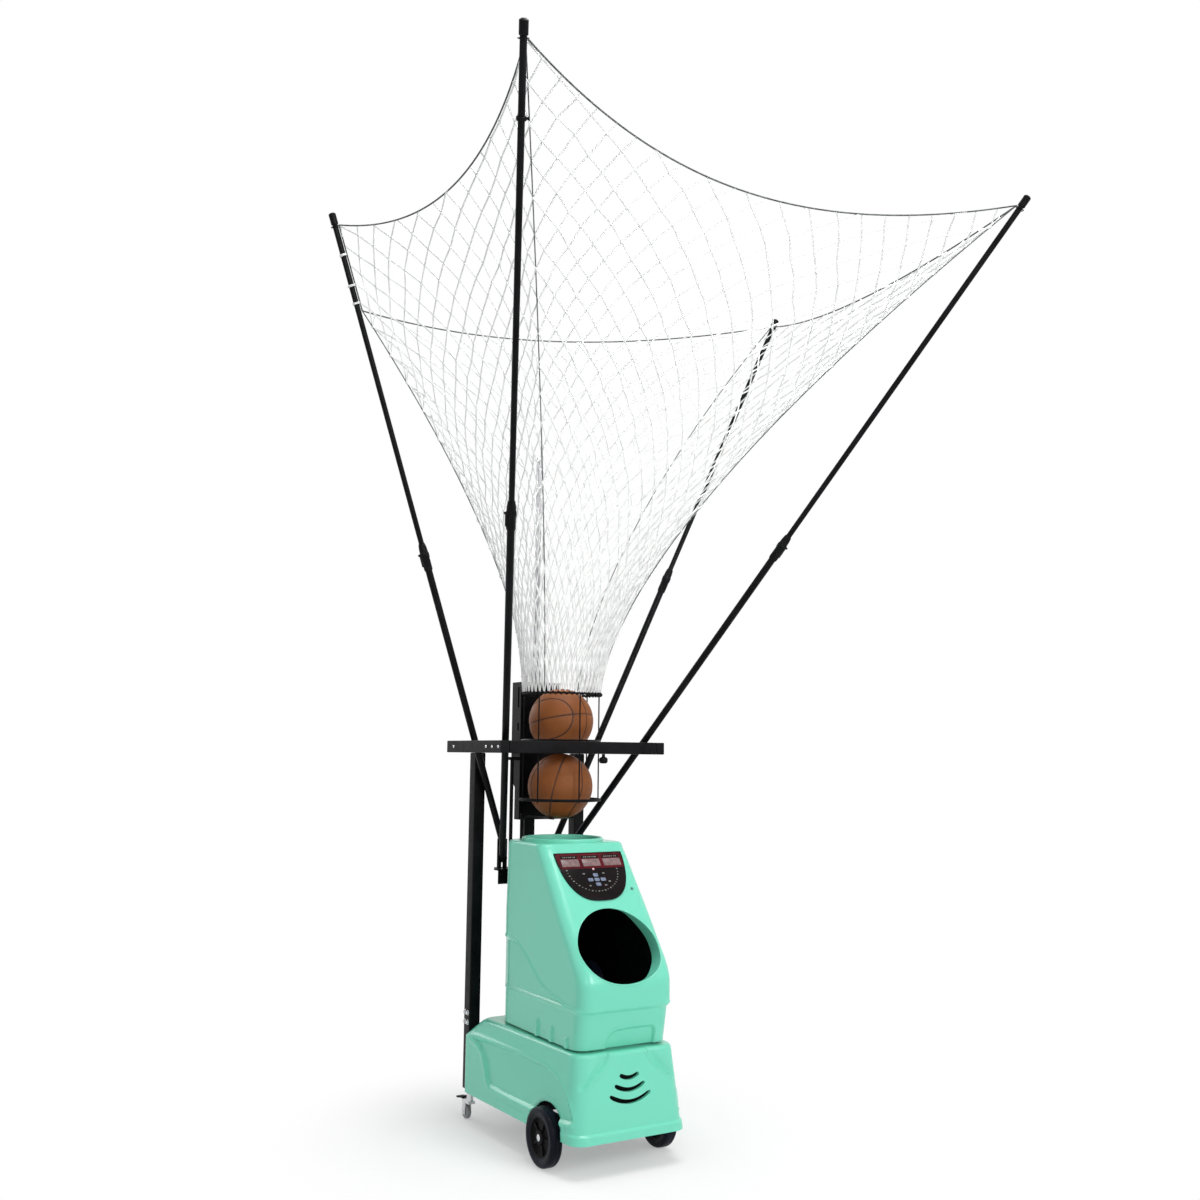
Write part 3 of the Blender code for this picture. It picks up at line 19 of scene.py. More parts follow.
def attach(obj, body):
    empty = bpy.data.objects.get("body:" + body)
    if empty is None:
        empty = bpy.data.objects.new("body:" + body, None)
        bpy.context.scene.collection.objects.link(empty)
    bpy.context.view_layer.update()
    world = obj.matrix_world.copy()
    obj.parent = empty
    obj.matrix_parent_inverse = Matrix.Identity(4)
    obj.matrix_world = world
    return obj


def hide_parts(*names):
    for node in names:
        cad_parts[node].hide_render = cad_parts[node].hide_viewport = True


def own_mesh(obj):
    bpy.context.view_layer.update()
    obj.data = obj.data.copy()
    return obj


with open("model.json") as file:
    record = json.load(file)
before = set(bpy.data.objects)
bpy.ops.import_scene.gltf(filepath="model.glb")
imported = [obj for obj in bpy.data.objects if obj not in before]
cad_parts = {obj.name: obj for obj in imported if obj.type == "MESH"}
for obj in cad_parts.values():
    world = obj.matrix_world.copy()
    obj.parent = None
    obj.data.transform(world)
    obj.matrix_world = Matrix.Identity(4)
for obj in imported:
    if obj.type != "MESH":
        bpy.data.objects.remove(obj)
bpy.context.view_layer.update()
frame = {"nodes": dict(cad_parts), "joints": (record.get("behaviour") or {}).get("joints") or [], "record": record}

# %% [markdown]
# Sizes are easiest to give from the launcher's turning axis, so everything is modelled about that axis and
# moved into the frame at the end. The axis comes from the joint, not from a typed number.

# %% The launcher's turning axis
JOINTS = {joint["name"]: joint for joint in frame["joints"]}
TURNING_AXIS = Vector(JOINTS["launcher_swivel"]["pos_m"])
MACHINE_SHIFT = Matrix.Translation((TURNING_AXIS.x, TURNING_AXIS.y, 0.0))
TOUCH = 0.0003
print("The launcher turns about", [round(value, 4) for value in TURNING_AXIS])

# %% [markdown]
# ## Camera
#
# The photograph was taken from the machine's front left at about chest height. The lens and the angles were
# found by matching the balls, the rails and the pole tops, so the camera is set from those few numbers.

# %% Camera
CAMERA_PLACE = Vector((-2.274, -4.110, 1.373))
CAMERA_YAW = math.radians(30.707)
CAMERA_PITCH = math.radians(7.175)
CAMERA_ROLL = math.radians(0.625)
CAMERA_LENS = 36.662
CAMERA_SENSOR = 36.0
CAMERA_SIGHT = 60.0


def camera_axes():
    """Right, up and backwards of the camera, from its yaw, pitch and roll."""
    level = math.cos(CAMERA_PITCH)
    ahead = Vector((math.sin(CAMERA_YAW) * level, math.cos(CAMERA_YAW) * level, math.sin(CAMERA_PITCH)))
    right = Vector((math.cos(CAMERA_YAW), -math.sin(CAMERA_YAW), 0.0))
    up = right.cross(ahead)
    rolled_right = right * math.cos(CAMERA_ROLL) + up * math.sin(CAMERA_ROLL)
    rolled_up = up * math.cos(CAMERA_ROLL) - right * math.sin(CAMERA_ROLL)
    return rolled_right, rolled_up, -ahead


camera_data = bpy.data.cameras.new("camera")
camera_data.lens = CAMERA_LENS
camera_data.sensor_width = CAMERA_SENSOR
camera_data.clip_end = CAMERA_SIGHT
camera = bpy.data.objects.new("camera", camera_data)
bpy.context.scene.collection.objects.link(camera)
camera_turn = Matrix(camera_axes()).transposed().to_4x4()
camera.matrix_world = MACHINE_SHIFT @ Matrix.Translation(CAMERA_PLACE) @ camera_turn
bpy.context.scene.camera = camera
print("Camera at", [round(value, 3) for value in camera.matrix_world.translation])

# %% [markdown]
# ## Finishes
#
# A finish is one Principled shader with a few procedural nodes in front of it: noise that shifts the colour a
# little, noise that shifts the gloss, and a bump at the scale of the real grain. The first helpers make the
# shader and a node. Giving sockets by name keeps each finish to one line that reads like a recipe.

# %% Shader helpers
def make_finish(name, colour, roughness, metallic=0.0, **sockets):
    """A material with a Principled shader; other sockets are given by name, with _ for a space."""
    material = bpy.data.materials.new(name)
    material.use_nodes = True
    shader = material.node_tree.nodes["Principled BSDF"]
    shader.inputs["Base Color"].default_value = (*colour, 1.0)
    shader.inputs["Roughness"].default_value = roughness
    shader.inputs["Metallic"].default_value = metallic
    for socket, value in sockets.items():
        shader.inputs[socket.replace("_", " ")].default_value = value
    return material


def add_node(material, kind, **settings):
    """A node with its settings; a setting that is an input is given in the dict called inputs."""
    node = material.node_tree.nodes.new(kind)
    for socket, value in settings.pop("inputs", {}).items():
        node.inputs[socket].default_value = value
    for setting, value in settings.items():
        setattr(node, setting, value)
    return node


def link(material, output, target):
    """A link from one node's output to another's input."""
    material.node_tree.links.new(output, target)


def shader_of(material):
    return material.node_tree.nodes["Principled BSDF"]


print("Shader helpers:", make_finish.__name__, add_node.__name__, link.__name__, shader_of.__name__)

# %% [markdown]
# One noise field can drive colour, gloss or bump. Noise bunches round its middle, so its useful part is
# stretched to the two values that are wanted, and no patch of the real finish falls outside them.

# %% Noise helpers
NOISE_LOW, NOISE_HIGH = 0.3, 0.7
TINT_LOW, TINT_HIGH = 0.35, 0.65


def noise_field(material, scale, detail=3.0, stretch=(1.0, 1.0, 1.0)):
    """Noise in the object's own metres, so that it keeps its place when a piece moves."""
    place = add_node(material, "ShaderNodeTexCoord")
    mapping = add_node(material, "ShaderNodeMapping", inputs={"Scale": stretch})
    field = add_node(material, "ShaderNodeTexNoise", inputs={"Scale": scale, "Detail": detail})
    link(material, place.outputs["Object"], mapping.inputs["Vector"])
    link(material, mapping.outputs["Vector"], field.inputs["Vector"])
    return field.outputs["Fac"]


def spread(material, field, low, high, target):
    """Send a field to a socket, stretched between two values."""
    ends = {"From Min": NOISE_LOW, "From Max": NOISE_HIGH, "To Min": low, "To Max": high}
    stretch = add_node(material, "ShaderNodeMapRange", inputs=ends)
    link(material, field, stretch.inputs["Value"])
    link(material, stretch.outputs["Result"], target)


def tint(material, field, first, second):
    """Mix two colours by a field into the base colour."""
    ramp = add_node(material, "ShaderNodeValToRGB")
    ramp.color_ramp.elements[0].position = TINT_LOW
    ramp.color_ramp.elements[1].position = TINT_HIGH
    ramp.color_ramp.elements[0].color = (*first, 1.0)
    ramp.color_ramp.elements[1].color = (*second, 1.0)
    link(material, field, ramp.inputs["Fac"])
    link(material, ramp.outputs["Color"], shader_of(material).inputs["Base Color"])


def emboss(material, field, depth):
    """Bump of a depth in metres."""
    bump = add_node(material, "ShaderNodeBump", inputs={"Strength": 1.0, "Distance": depth})
    link(material, field, bump.inputs["Height"])
    link(material, bump.outputs["Normal"], shader_of(material).inputs["Normal"])


print("Noise is stretched from", (NOISE_LOW, NOISE_HIGH), "for gloss and", (TINT_LOW, TINT_HIGH), "for colour")

# %% [markdown]
# The shells are moulded polyethylene in mint: glossy, with the soft orange-peel of a mould wall and a slow
# drift in colour. A plain glossy green looks like paint, so both are added, very weakly.

# %% Mint shell
MINT_LIGHT = (0.175, 0.690, 0.505)
MINT_DEEP = (0.168, 0.675, 0.492)
mint_shell = make_finish("mint_shell", MINT_LIGHT, 0.24, Coat_Weight=0.12, Coat_Roughness=0.10,
                         Specular_IOR_Level=0.38)
tint(mint_shell, noise_field(mint_shell, 2.5, 1.0), MINT_DEEP, MINT_LIGHT)
spread(mint_shell, noise_field(mint_shell, 3.0, 1.0), 0.23, 0.26, shader_of(mint_shell).inputs["Roughness"])
emboss(mint_shell, noise_field(mint_shell, 40.0, 1.0), 0.00006)
print("Finish:", mint_shell.name, "with", len(mint_shell.node_tree.nodes), "nodes")

# %% [markdown]
# The steelwork is powder-coated black. Powder coat is a fine pebble of flowed plastic, so it gets a fine bump
# and a gloss that varies. Its specular level is low, or the lamps would turn the thin tubes grey.

# %% Black powder coat
black_steel = make_finish("black_steel", (0.003, 0.003, 0.004), 0.34, Specular_IOR_Level=0.08)
tint(black_steel, noise_field(black_steel, 9.0), (0.0015, 0.0015, 0.002), (0.005, 0.005, 0.006))
spread(black_steel, noise_field(black_steel, 40.0), 0.30, 0.46, shader_of(black_steel).inputs["Roughness"])
emboss(black_steel, noise_field(black_steel, 900.0, 2.0), 0.00012)
print("Finish:", black_steel.name, "with", len(black_steel.node_tree.nodes), "nodes")

# %% [markdown]
# Plated steel is bright and a little brushed. Its colour is the metal's own, and only the gloss varies. The
# noise is drawn out along one axis, which gives the brushing. The net's post is a duller grey.

# %% Bright steel and grey steel
bright_steel = make_finish("bright_steel", (0.62, 0.63, 0.65), 0.25, 1.0)
spread(bright_steel, noise_field(bright_steel, 300.0, 2.0, (1.0, 1.0, 0.05)), 0.18, 0.38,
       shader_of(bright_steel).inputs["Roughness"])
grey_steel = make_finish("grey_steel", (0.27, 0.27, 0.28), 0.42, 0.6)
tint(grey_steel, noise_field(grey_steel, 25.0), (0.22, 0.22, 0.23), (0.34, 0.34, 0.35))
emboss(grey_steel, noise_field(grey_steel, 700.0, 2.0), 0.0001)
print("Finishes:", bright_steel.name, grey_steel.name)

# %% [markdown]
# Black plastic has the fine, even spark-eroded texture of its mould, and no metal in its sheen. It is rougher
# than the powder coat beside it, which is what tells the two blacks apart.

# %% Black plastic
black_plastic = make_finish("black_plastic", (0.003, 0.003, 0.003), 0.46, Specular_IOR_Level=0.07)
tint(black_plastic, noise_field(black_plastic, 30.0), (0.002, 0.002, 0.002), (0.006, 0.006, 0.007))
spread(black_plastic, noise_field(black_plastic, 60.0), 0.42, 0.58,
       shader_of(black_plastic).inputs["Roughness"])
emboss(black_plastic, noise_field(black_plastic, 1500.0, 1.0), 0.00008)
print("Finish:", black_plastic.name, "with", len(black_plastic.node_tree.nodes), "nodes")

# %% [markdown]
# Tyre rubber is nearly black with a blue cast and a pale bloom. The casters roll on grey plastic wheels.

# %% Rubber and grey wheel plastic
tyre_rubber = make_finish("tyre_rubber", (0.003, 0.004, 0.008), 0.42, Specular_IOR_Level=0.10)
tint(tyre_rubber, noise_field(tyre_rubber, 18.0), (0.002, 0.0025, 0.006), (0.006, 0.008, 0.018))
emboss(tyre_rubber, noise_field(tyre_rubber, 1100.0, 2.0), 0.00015)
grey_plastic = make_finish("grey_plastic", (0.30, 0.30, 0.31), 0.40)
tint(grey_plastic, noise_field(grey_plastic, 40.0), (0.24, 0.24, 0.25), (0.36, 0.36, 0.37))
emboss(grey_plastic, noise_field(grey_plastic, 600.0, 2.0), 0.0001)
print("Finishes:", tyre_rubber.name, grey_plastic.name)

# %% [markdown]
# ## Mesh helpers
#
# Most pieces are one of four things: a turned profile, a round bar along a path, a flat plate or a box. Each
# helper gives a closed mesh about the launcher's axis, so that it can be cut, joined or rounded like a solid.

# %% Mesh basics
WORLD_X = Vector((1.0, 0.0, 0.0))
WORLD_Z = Vector((0.0, 0.0, 1.0))
ROUNDING_ERROR = 1e-6


def closed_mesh(shape):
    """A mesh from a bmesh, with its faces turned outwards."""
    bmesh.ops.recalc_face_normals(shape, faces=shape.faces)
    mesh = bpy.data.meshes.new("shape")
    shape.to_mesh(mesh)
    shape.free()
    return mesh


def mesh_from(points, faces):
    """A mesh from its points and faces."""
    mesh = bpy.data.meshes.new("shape")
    mesh.from_pydata([tuple(point) for point in points], [], faces)
    return mesh


def turn_to(axis):
    """The rotation that takes +Z to an axis."""
    return WORLD_Z.rotation_difference(Vector(axis)).to_matrix().to_4x4()


print("+Z turned to +X gives", [round(value, 3) for value in turn_to(WORLD_X) @ WORLD_Z])

# %% [markdown]
# Tyres, discs, caps and lips are turned on a lathe or moulded round. A screw modifier could spin them, but a
# loop over the steps is as short, and welding its points on the axis closes the ends of a solid profile.

# %% Turned profiles
def turned_mesh(profile, sides=48, axis=(0, 0, 1), centre=(0, 0, 0)):
    """A closed loop of (radius, height) turned once round."""
    count = len(profile)
    points = []
    for step in range(sides):
        angle = 2 * math.pi * step / sides
        points += [(radius * math.cos(angle), radius * math.sin(angle), height) for radius, height in profile]
    faces = []
    for step in range(sides):
        here, there = step * count, (step + 1) % sides * count
        for i in range(count):
            j = (i + 1) % count
            faces.append((here + i, here + j, there + j, there + i))
    shape = bmesh.new()
    shape.from_mesh(mesh_from(points, faces))
    bmesh.ops.remove_doubles(shape, verts=shape.verts, dist=ROUNDING_ERROR)
    mesh = closed_mesh(shape)
    mesh.transform(Matrix.Translation(centre) @ turn_to(axis))
    return mesh


trial = turned_mesh([(0.01, 0.0), (0.02, 0.0), (0.02, 0.01), (0.01, 0.01)])
print("A turned washer has", len(trial.polygons), "faces")
bpy.data.meshes.remove(trial)

# %% [markdown]
# Cords, ropes and rings are round bars that follow a path. A curve with a bevel would do it too. Here each
# ring of points is carried from the last one with as little turn as possible, so that no bar twists.

# %% Bars along a path
def swept_rings(path, radius, sides, loop):
    """Rings of points round a path, turned as little as possible from one to the next."""
    path = [Vector(point) for point in path]
    count = len(path)
    rings = []
    side = None
    for i, point in enumerate(path):
        before = path[i - 1] if i or loop else point
        after = path[(i + 1) % count] if i < count - 1 or loop else point
        ahead = (after - before).normalized()
        if side is None:
            side = ahead.orthogonal().normalized()
        side = (side - ahead * side.dot(ahead)).normalized()
        other = ahead.cross(side)
        angles = [2 * math.pi * k / sides for k in range(sides)]
        rings.append([point + (side * math.cos(a) + other * math.sin(a)) * radius for a in angles])
    return rings


def bar_mesh(paths, radius, sides=10, loop=False):
    """Round bars along paths of points, with closed ends."""
    points, faces = [], []
    for path in paths:
        start = len(points)
        rings = swept_rings(path, radius, sides, loop)
        for ring in rings:
            points += ring
        pairs = len(rings) if loop else len(rings) - 1
        for i in range(pairs):
            low, high = start + i * sides, start + (i + 1) % len(rings) * sides
            faces += [(low + k, low + (k + 1) % sides, high + (k + 1) % sides, high + k)
                      for k in range(sides)]
        if not loop:
            faces.append(tuple(start + k for k in reversed(range(sides))))
            faces.append(tuple(len(points) - sides + k for k in range(sides)))
    shape = bmesh.new()
    shape.from_mesh(mesh_from(points, faces))
    return closed_mesh(shape)


trial = bar_mesh([[(0, 0, 0), (0, 0, 1)]], 0.01)
print("A straight bar has", len(trial.polygons), "faces")
bpy.data.meshes.remove(trial)

# %% [markdown]
# Labels, marks, vents and bolt heads are flat outlines with a thickness, and the rest of the small parts are
# boxes. Both are drawn about the origin and then turned into place.

# %% Plates and boxes
def plate_mesh(outline, thickness, turn=Matrix(), centre=(0, 0, 0)):
    """A flat outline in X and Y with a thickness along Z, then turned and moved."""
    shape = bmesh.new()
    corners = [shape.verts.new((x, y, -thickness / 2)) for x, y in outline]
    face = shape.faces.new(corners)
    raised = bmesh.ops.extrude_face_region(shape, geom=[face])
    tops = [item for item in raised["geom"] if isinstance(item, bmesh.types.BMVert)]
    bmesh.ops.translate(shape, verts=tops, vec=(0, 0, thickness))
    mesh = closed_mesh(shape)
    mesh.transform(Matrix.Translation(centre) @ turn)
    return mesh


def box_mesh(low, high):
    """A box between two opposite corners."""
    shape = bmesh.new()
    bmesh.ops.create_cube(shape, size=1.0)
    low, high = Vector(low), Vector(high)
    bmesh.ops.scale(shape, vec=high - low, verts=shape.verts)
    bmesh.ops.translate(shape, vec=(low + high) / 2, verts=shape.verts)
    return closed_mesh(shape)


trial = box_mesh((0, 0, 0), (1, 1, 1))
print("A box has", len(trial.vertices), "corners and", len(trial.polygons), "faces")
bpy.data.meshes.remove(trial)

# %% [markdown]
# Holes are booleans between plain solids, and soft edges are a bevel. Both are worked out once, here, so that
# what stays is a mesh whose size can be measured.

# %% Carving and rounding
def evaluated(obj):
    """The mesh of an object with its modifiers worked out; the object goes."""
    bpy.context.view_layer.update()
    graph = bpy.context.evaluated_depsgraph_get()
    mesh = bpy.data.meshes.new_from_object(obj.evaluated_get(graph))
    bpy.data.objects.remove(obj)
    return mesh


def scratch(mesh):
    """A passing object for a mesh, so that modifiers can work on it."""
    obj = bpy.data.objects.new("scratch", mesh)
    bpy.context.scene.collection.objects.link(obj)
    return obj


def carved(solid, tools):
    """The solid with each tool cut from it."""
    obj = scratch(solid)
    helpers = [scratch(tool) for tool in tools]
    for helper in helpers:
        boolean = obj.modifiers.new("cut", "BOOLEAN")
        boolean.operation = "DIFFERENCE"
        boolean.object = helper
        boolean.solver = "EXACT"
    mesh = evaluated(obj)
    for helper in helpers:
        bpy.data.objects.remove(helper)
    return mesh


def rounded(mesh, width, segments=2, angle=35):
    """Rounded edges wherever two faces meet at more than an angle."""
    obj = scratch(mesh)
    bevel = obj.modifiers.new("rounded", "BEVEL")
    bevel.width = width
    bevel.segments = segments
    bevel.limit_method = "ANGLE"
    bevel.angle_limit = math.radians(angle)
    return evaluated(obj)


trial = rounded(box_mesh((0, 0, 0), (1, 1, 1)), 0.1)
print("Rounding takes a box from 6 to", len(trial.polygons), "faces")
bpy.data.meshes.remove(trial)

# %% [markdown]
# Each piece rides on one body of the frame, so that it moves with that body at every pose. The solids it
# stands for are hidden, and it gets its finish.

# %% Placing a piece on its body
SMOOTH_BELOW = 35


def add_piece(name, mesh, finish, body, stands_for=(), shading=SMOOTH_BELOW):
    """A piece of the machine that rides on a body, with smooth shading below an angle."""
    mesh.transform(MACHINE_SHIFT)
    mesh.materials.clear()
    mesh.materials.append(finish)
    mesh.shade_smooth()
    mesh.set_sharp_from_angle(angle=math.radians(shading))
    obj = bpy.data.objects.new(name, mesh)
    bpy.context.scene.collection.objects.link(obj)
    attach(obj, body)
    if stands_for:
        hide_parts(*stands_for)
    return obj


def even_shading(obj):
    """Shading that large flat faces keep flat, for cut shells."""
    normals = obj.modifiers.new("even shading", "WEIGHTED_NORMAL")
    normals.keep_sharp = True
    return obj


def joined(meshes):
    """Several meshes as one."""
    shape = bmesh.new()
    for mesh in meshes:
        shape.from_mesh(mesh)
    mesh = bpy.data.meshes.new("shape")
    shape.to_mesh(mesh)
    shape.free()
    return mesh


print("Edges stay smooth below", SMOOTH_BELOW, "degrees")

# %% [markdown]
# ## The solids that stay
#
# Tubes, rails, poles and brackets already have the right shape, so they keep their solids and get a finish.
# The import splits faces at every edge. Weld joins them again, edge split keeps the corners crisp, and the
# two together give smooth tubes without touching the solid's own mesh.

# %% Finishes for the solids that stay
KEPT = {
    black_steel: ["chassis", "column_left", "column_right", "mast", "frame_front", "frame_rear",
                  "frame_side_left", "frame_side_right", "pole_bracket", "feeder_housing", "outer_conduit",
                  "inner_conduit", "turntable_plate", "ball_cage", "gate_finger_left", "gate_finger_right",
                  *[node for node in frame["nodes"] if node.startswith(("lower_pole", "upper_pole"))]],
    black_plastic: ["frame_knob", "power_switch", "power_inlet", "brake_pedal_left", "brake_pedal_right"],
    bright_steel: ["turntable_ring", "caster_fork_left", "caster_fork_right", "throwing_motor"],
    grey_steel: ["net_post"],
    grey_plastic: ["caster_wheel_left", "caster_wheel_right"],
    tyre_rubber: ["throwing_wheels"],
}
WELD_REACH = 0.00001


def dress_solid(node, finish):
    """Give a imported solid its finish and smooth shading."""
    obj = frame["nodes"][node]
    obj.data.materials.clear()
    obj.data.materials.append(finish)
    for polygon in obj.data.polygons:
        polygon.use_smooth = True
    weld = obj.modifiers.new("weld", "WELD")
    weld.merge_threshold = WELD_REACH
    split = obj.modifiers.new("crisp corners", "EDGE_SPLIT")
    split.split_angle = math.radians(SMOOTH_BELOW)
    even_shading(obj)


for finish, nodes in KEPT.items():
    for node in nodes:
        dress_solid(node, finish)
print("Dressed solids:", sum(len(nodes) for nodes in KEPT.values()))

# %% [markdown]
# ## Moulded shells
#
# Both shells take their form from the wall of a mould, so every step, field and rib on them has soft edges. A
# boolean cut would leave knife edges. Instead each shell starts as a dense loft through plan outlines, and a
# relief pushes its points in or out: deep inside a field, high along its border, with a ramp between. Three
# small blends are all that the ramps need, and they work on one number or on a whole array.

# %% Blends
def blend_to(start, end, share):
    """A value part of the way from a start to an end."""
    return start + (end - start) * share


def between(value, low, high):
    """How far a value is from low to high, kept to 0 to 1; works on arrays too."""
    return np.clip((value - low) / (high - low), 0.0, 1.0)


def ease(value, low, high):
    """The same with a soft start and end."""
    share = between(value, low, high)
    return share * share * (3 - 2 * share)


print("A quarter of the way, a soft ramp is at", ease(0.25, 0, 1), "and a straight one at", between(0.25, 0, 1))

# %% [markdown]
# A plan outline is a rounded shape that may be narrower in front than behind. Points stand close on the
# outside, where the relief is pushed, and wide on the inside, which is only a wall to cut away.

# %% Plan outlines
CORNER_STEPS = 12
DENSE = (160, 10, 160, 92)  # right side, rear, left side, front
COARSE = (4, 4, 4, 4)


def arc(centre_x, centre_y, radius, start, end):
    """Points along an arc between two angles in degrees."""
    turn = np.radians(np.linspace(start, end, CORNER_STEPS + 1))
    return [(centre_x + radius * math.cos(a), centre_y + radius * math.sin(a)) for a in turn]


def plan_ring(front, rear, front_half, rear_half, front_corner, rear_corner, splits=DENSE):
    """A plan view with rounded corners, with points all along its straight sides."""
    arcs = [arc(front_half - front_corner, front + front_corner, front_corner, -90, 0),
            arc(rear_half - rear_corner, rear - rear_corner, rear_corner, 0, 90),
            arc(rear_corner - rear_half, rear - rear_corner, rear_corner, 90, 180),
            arc(front_corner - front_half, front + front_corner, front_corner, 180, 270)]
    ring = []
    for here, following, count in zip(arcs, arcs[1:] + arcs[:1], splits):
        ring += here
        start, end = Vector(here[-1]), Vector(following[0])
        ring += [tuple(start.lerp(end, i / count)) for i in range(1, count)]
    return ring


print("One ring has", len(plan_ring(-0.5, 0.2, 0.2, 0.2, 0.05, 0.05)), "points")

# %% [markdown]
# The relief needs to know how far a point is from a drawn line, and on which side. That is a distance to
# the nearest segment, with its sign from counting how often a ray crosses the outline.

# %% Distance to a drawn outline
def smooth_line(points, rounds=2):
    """The outline with its corners cut twice, so that it bends softly."""
    points = [Vector(point) for point in points]
    for _ in range(rounds):
        cut_points = []
        for here, there in zip(points, points[1:] + points[:1]):
            cut_points += [here.lerp(there, 0.25), here.lerp(there, 0.75)]
        points = cut_points
    return np.array([tuple(point) for point in points])


def depth_inside(across, height, outline):
    """Distance to a closed outline, positive inside it."""
    points = np.stack([across, height], axis=1)
    nearest = np.full(len(points), 1e9)
    crossings = np.zeros(len(points), int)
    for start, end in zip(outline, np.roll(outline, -1, axis=0)):
        run = end - start
        share = np.clip(((points - start) @ run) / max(run @ run, 1e-12), 0, 1)
        nearest = np.minimum(nearest, np.linalg.norm(points - start - share[:, None] * run, axis=1))
        if start[1] != end[1]:
            level = (points[:, 1] - start[1]) / run[1]
            crossings += (level >= 0) & (level < 1) & (points[:, 0] < start[0] + level * run[0])
    return np.where(crossings % 2 == 1, nearest, -nearest)


def field_relief(depth_in, deep, ramp, border=0.0, border_width=0.006):
    """A sunken field with a raised border just outside it."""
    ridge = border * np.exp(-((depth_in + border_width) / border_width) ** 2)
    return ridge - deep * ease(depth_in, 0.0, ramp)


square = np.array([(0, 0), (1, 0), (1, 1), (0, 1)])
middle = depth_inside(np.array([0.5]), np.array([0.5]), square)[0]
print("The middle of a unit square lies", middle, "inside it")

# %% [markdown]
# The loft joins ring to ring. Its walls are pushed level, straight out from the plan outline, so the relief
# never changes a height, and the shell keeps a flat foot to stand on.

# %% The loft with relief
def moulded_mesh(levels, relief=None):
    """A closed solid through dense plan rings, given as (height, ring), with its walls pushed by a relief."""
    rings = np.array([[(x, y, height) for x, y in ring] for height, ring in levels])
    ahead = np.roll(rings, -1, axis=1) - np.roll(rings, 1, axis=1)
    outward = np.stack([ahead[..., 1], -ahead[..., 0]], axis=-1)
    outward /= np.maximum(np.linalg.norm(outward, axis=-1), 1e-9)[..., None]
    if relief:
        push = relief(rings.reshape(-1, 3), outward.reshape(-1, 2)).reshape(rings.shape[:2])
        rings[..., :2] += outward * push[..., None]
    count = rings.shape[1]
    faces = []
    for level in range(len(levels) - 1):
        low, high = level * count, (level + 1) * count
        faces += [(low + i, low + (i + 1) % count, high + (i + 1) % count, high + i) for i in range(count)]
    faces.append(tuple(reversed(range(count))))
    faces.append(tuple(range((len(levels) - 1) * count, len(levels) * count)))
    shape = bmesh.new()
    shape.from_mesh(mesh_from(rings.reshape(-1, 3), faces))
    return closed_mesh(shape)


trial = moulded_mesh([(height, plan_ring(-0.5, 0.2, 0.2, 0.2, 0.05, 0.05)) for height in (0, 1)])
print("Two rings make", len(trial.polygons), "faces")
bpy.data.meshes.remove(trial)

# %% [markdown]
# ### The launcher's hull
#
# The hull is a tall box with big rounded corners. Its front slopes back above a nose, its lower side is
# sunk below an S-shaped line, three short ribs stand on each side near the bottom, and a grip is let into
# the front. All of these are relief on one loft; only the mouth and the hopper hole are cut.

# %% Hull sizes
HULL_BOTTOM = 0.392
HULL_TOP = 1.050
HULL_HALF_WIDTH = 0.185
HULL_REAR = 0.135
HULL_REAR_CORNER = 0.090
HULL_FRONT_CORNER = 0.045
HULL_NOSE = -0.505
HULL_STEP_HEIGHT = 0.515
HULL_STEP = 0.012
HULL_SIDE_STEP = 0.004
HULL_EDGE = 0.012
HULL_WALL = 0.012
FACE_TOP = Vector((-0.205, 1.020))
FACE_FOOT = Vector((-0.480, 0.660))
FACE_ROLL = 0.020
NOSE_BLEND = 0.06
NOSE_TUCK = 0.025
KINK_REACH = 0.015
TOP_TAPER = 0.006
HOPPER_Y = -0.025
SLOPE = math.atan2(FACE_TOP.x - FACE_FOOT.x, FACE_TOP.y - FACE_FOOT.y)
print("The face slopes back by", round(math.degrees(SLOPE), 1), "degrees")

# %% [markdown]
# The hull's side view is one curve: how far forward its front is at each height. The plan outline at a height
# follows from that curve, and levels stand close where the skirt's step and the top edge bend.

# %% Hull outlines
def sharp_front(height):
    """Where the hull's front is at a height: nose, sloping face, rounded top."""
    if height > FACE_TOP.y:
        return FACE_TOP.x + FACE_ROLL * between(height, FACE_TOP.y, HULL_TOP) ** 0.5
    if height > FACE_FOOT.y:
        return blend_to(FACE_FOOT.x, FACE_TOP.x, between(height, FACE_FOOT.y, FACE_TOP.y))
    if height > HULL_STEP_HEIGHT:
        return blend_to(HULL_NOSE, FACE_FOOT.x, between(height, FACE_FOOT.y - NOSE_BLEND, FACE_FOOT.y) ** 1.5)
    return HULL_NOSE + NOSE_TUCK * (1 - between(height, HULL_BOTTOM, HULL_STEP_HEIGHT))


def hull_front(height):
    """The same with its kinks rounded, by averaging a little above and below."""
    return float(np.mean([sharp_front(height + shift) for shift in np.linspace(-KINK_REACH, KINK_REACH, 7)]))


def hull_ring(height, inset, splits):
    """The hull's plan outline at a height: skirt step, taper and rounded top edge, all drawn in by an inset."""
    height = max(height, HULL_BOTTOM)
    under = 1 - ease(height, HULL_STEP_HEIGHT - 0.006, HULL_STEP_HEIGHT + 0.008)
    roll = between(height, HULL_TOP - HULL_EDGE, HULL_TOP)
    edge = HULL_EDGE * (1 - math.sqrt(max(0.0, 1 - roll ** 2))) * 0.9 + inset
    taper = between(height, 0.8, HULL_TOP)
    half = blend_to(HULL_HALF_WIDTH, HULL_HALF_WIDTH - TOP_TAPER, taper) - HULL_SIDE_STEP * under
    front = hull_front(height) + HULL_STEP * under
    return plan_ring(front + edge, HULL_REAR - edge, half - edge, half - edge, HULL_FRONT_CORNER - inset,
                     HULL_REAR_CORNER - inset, splits)


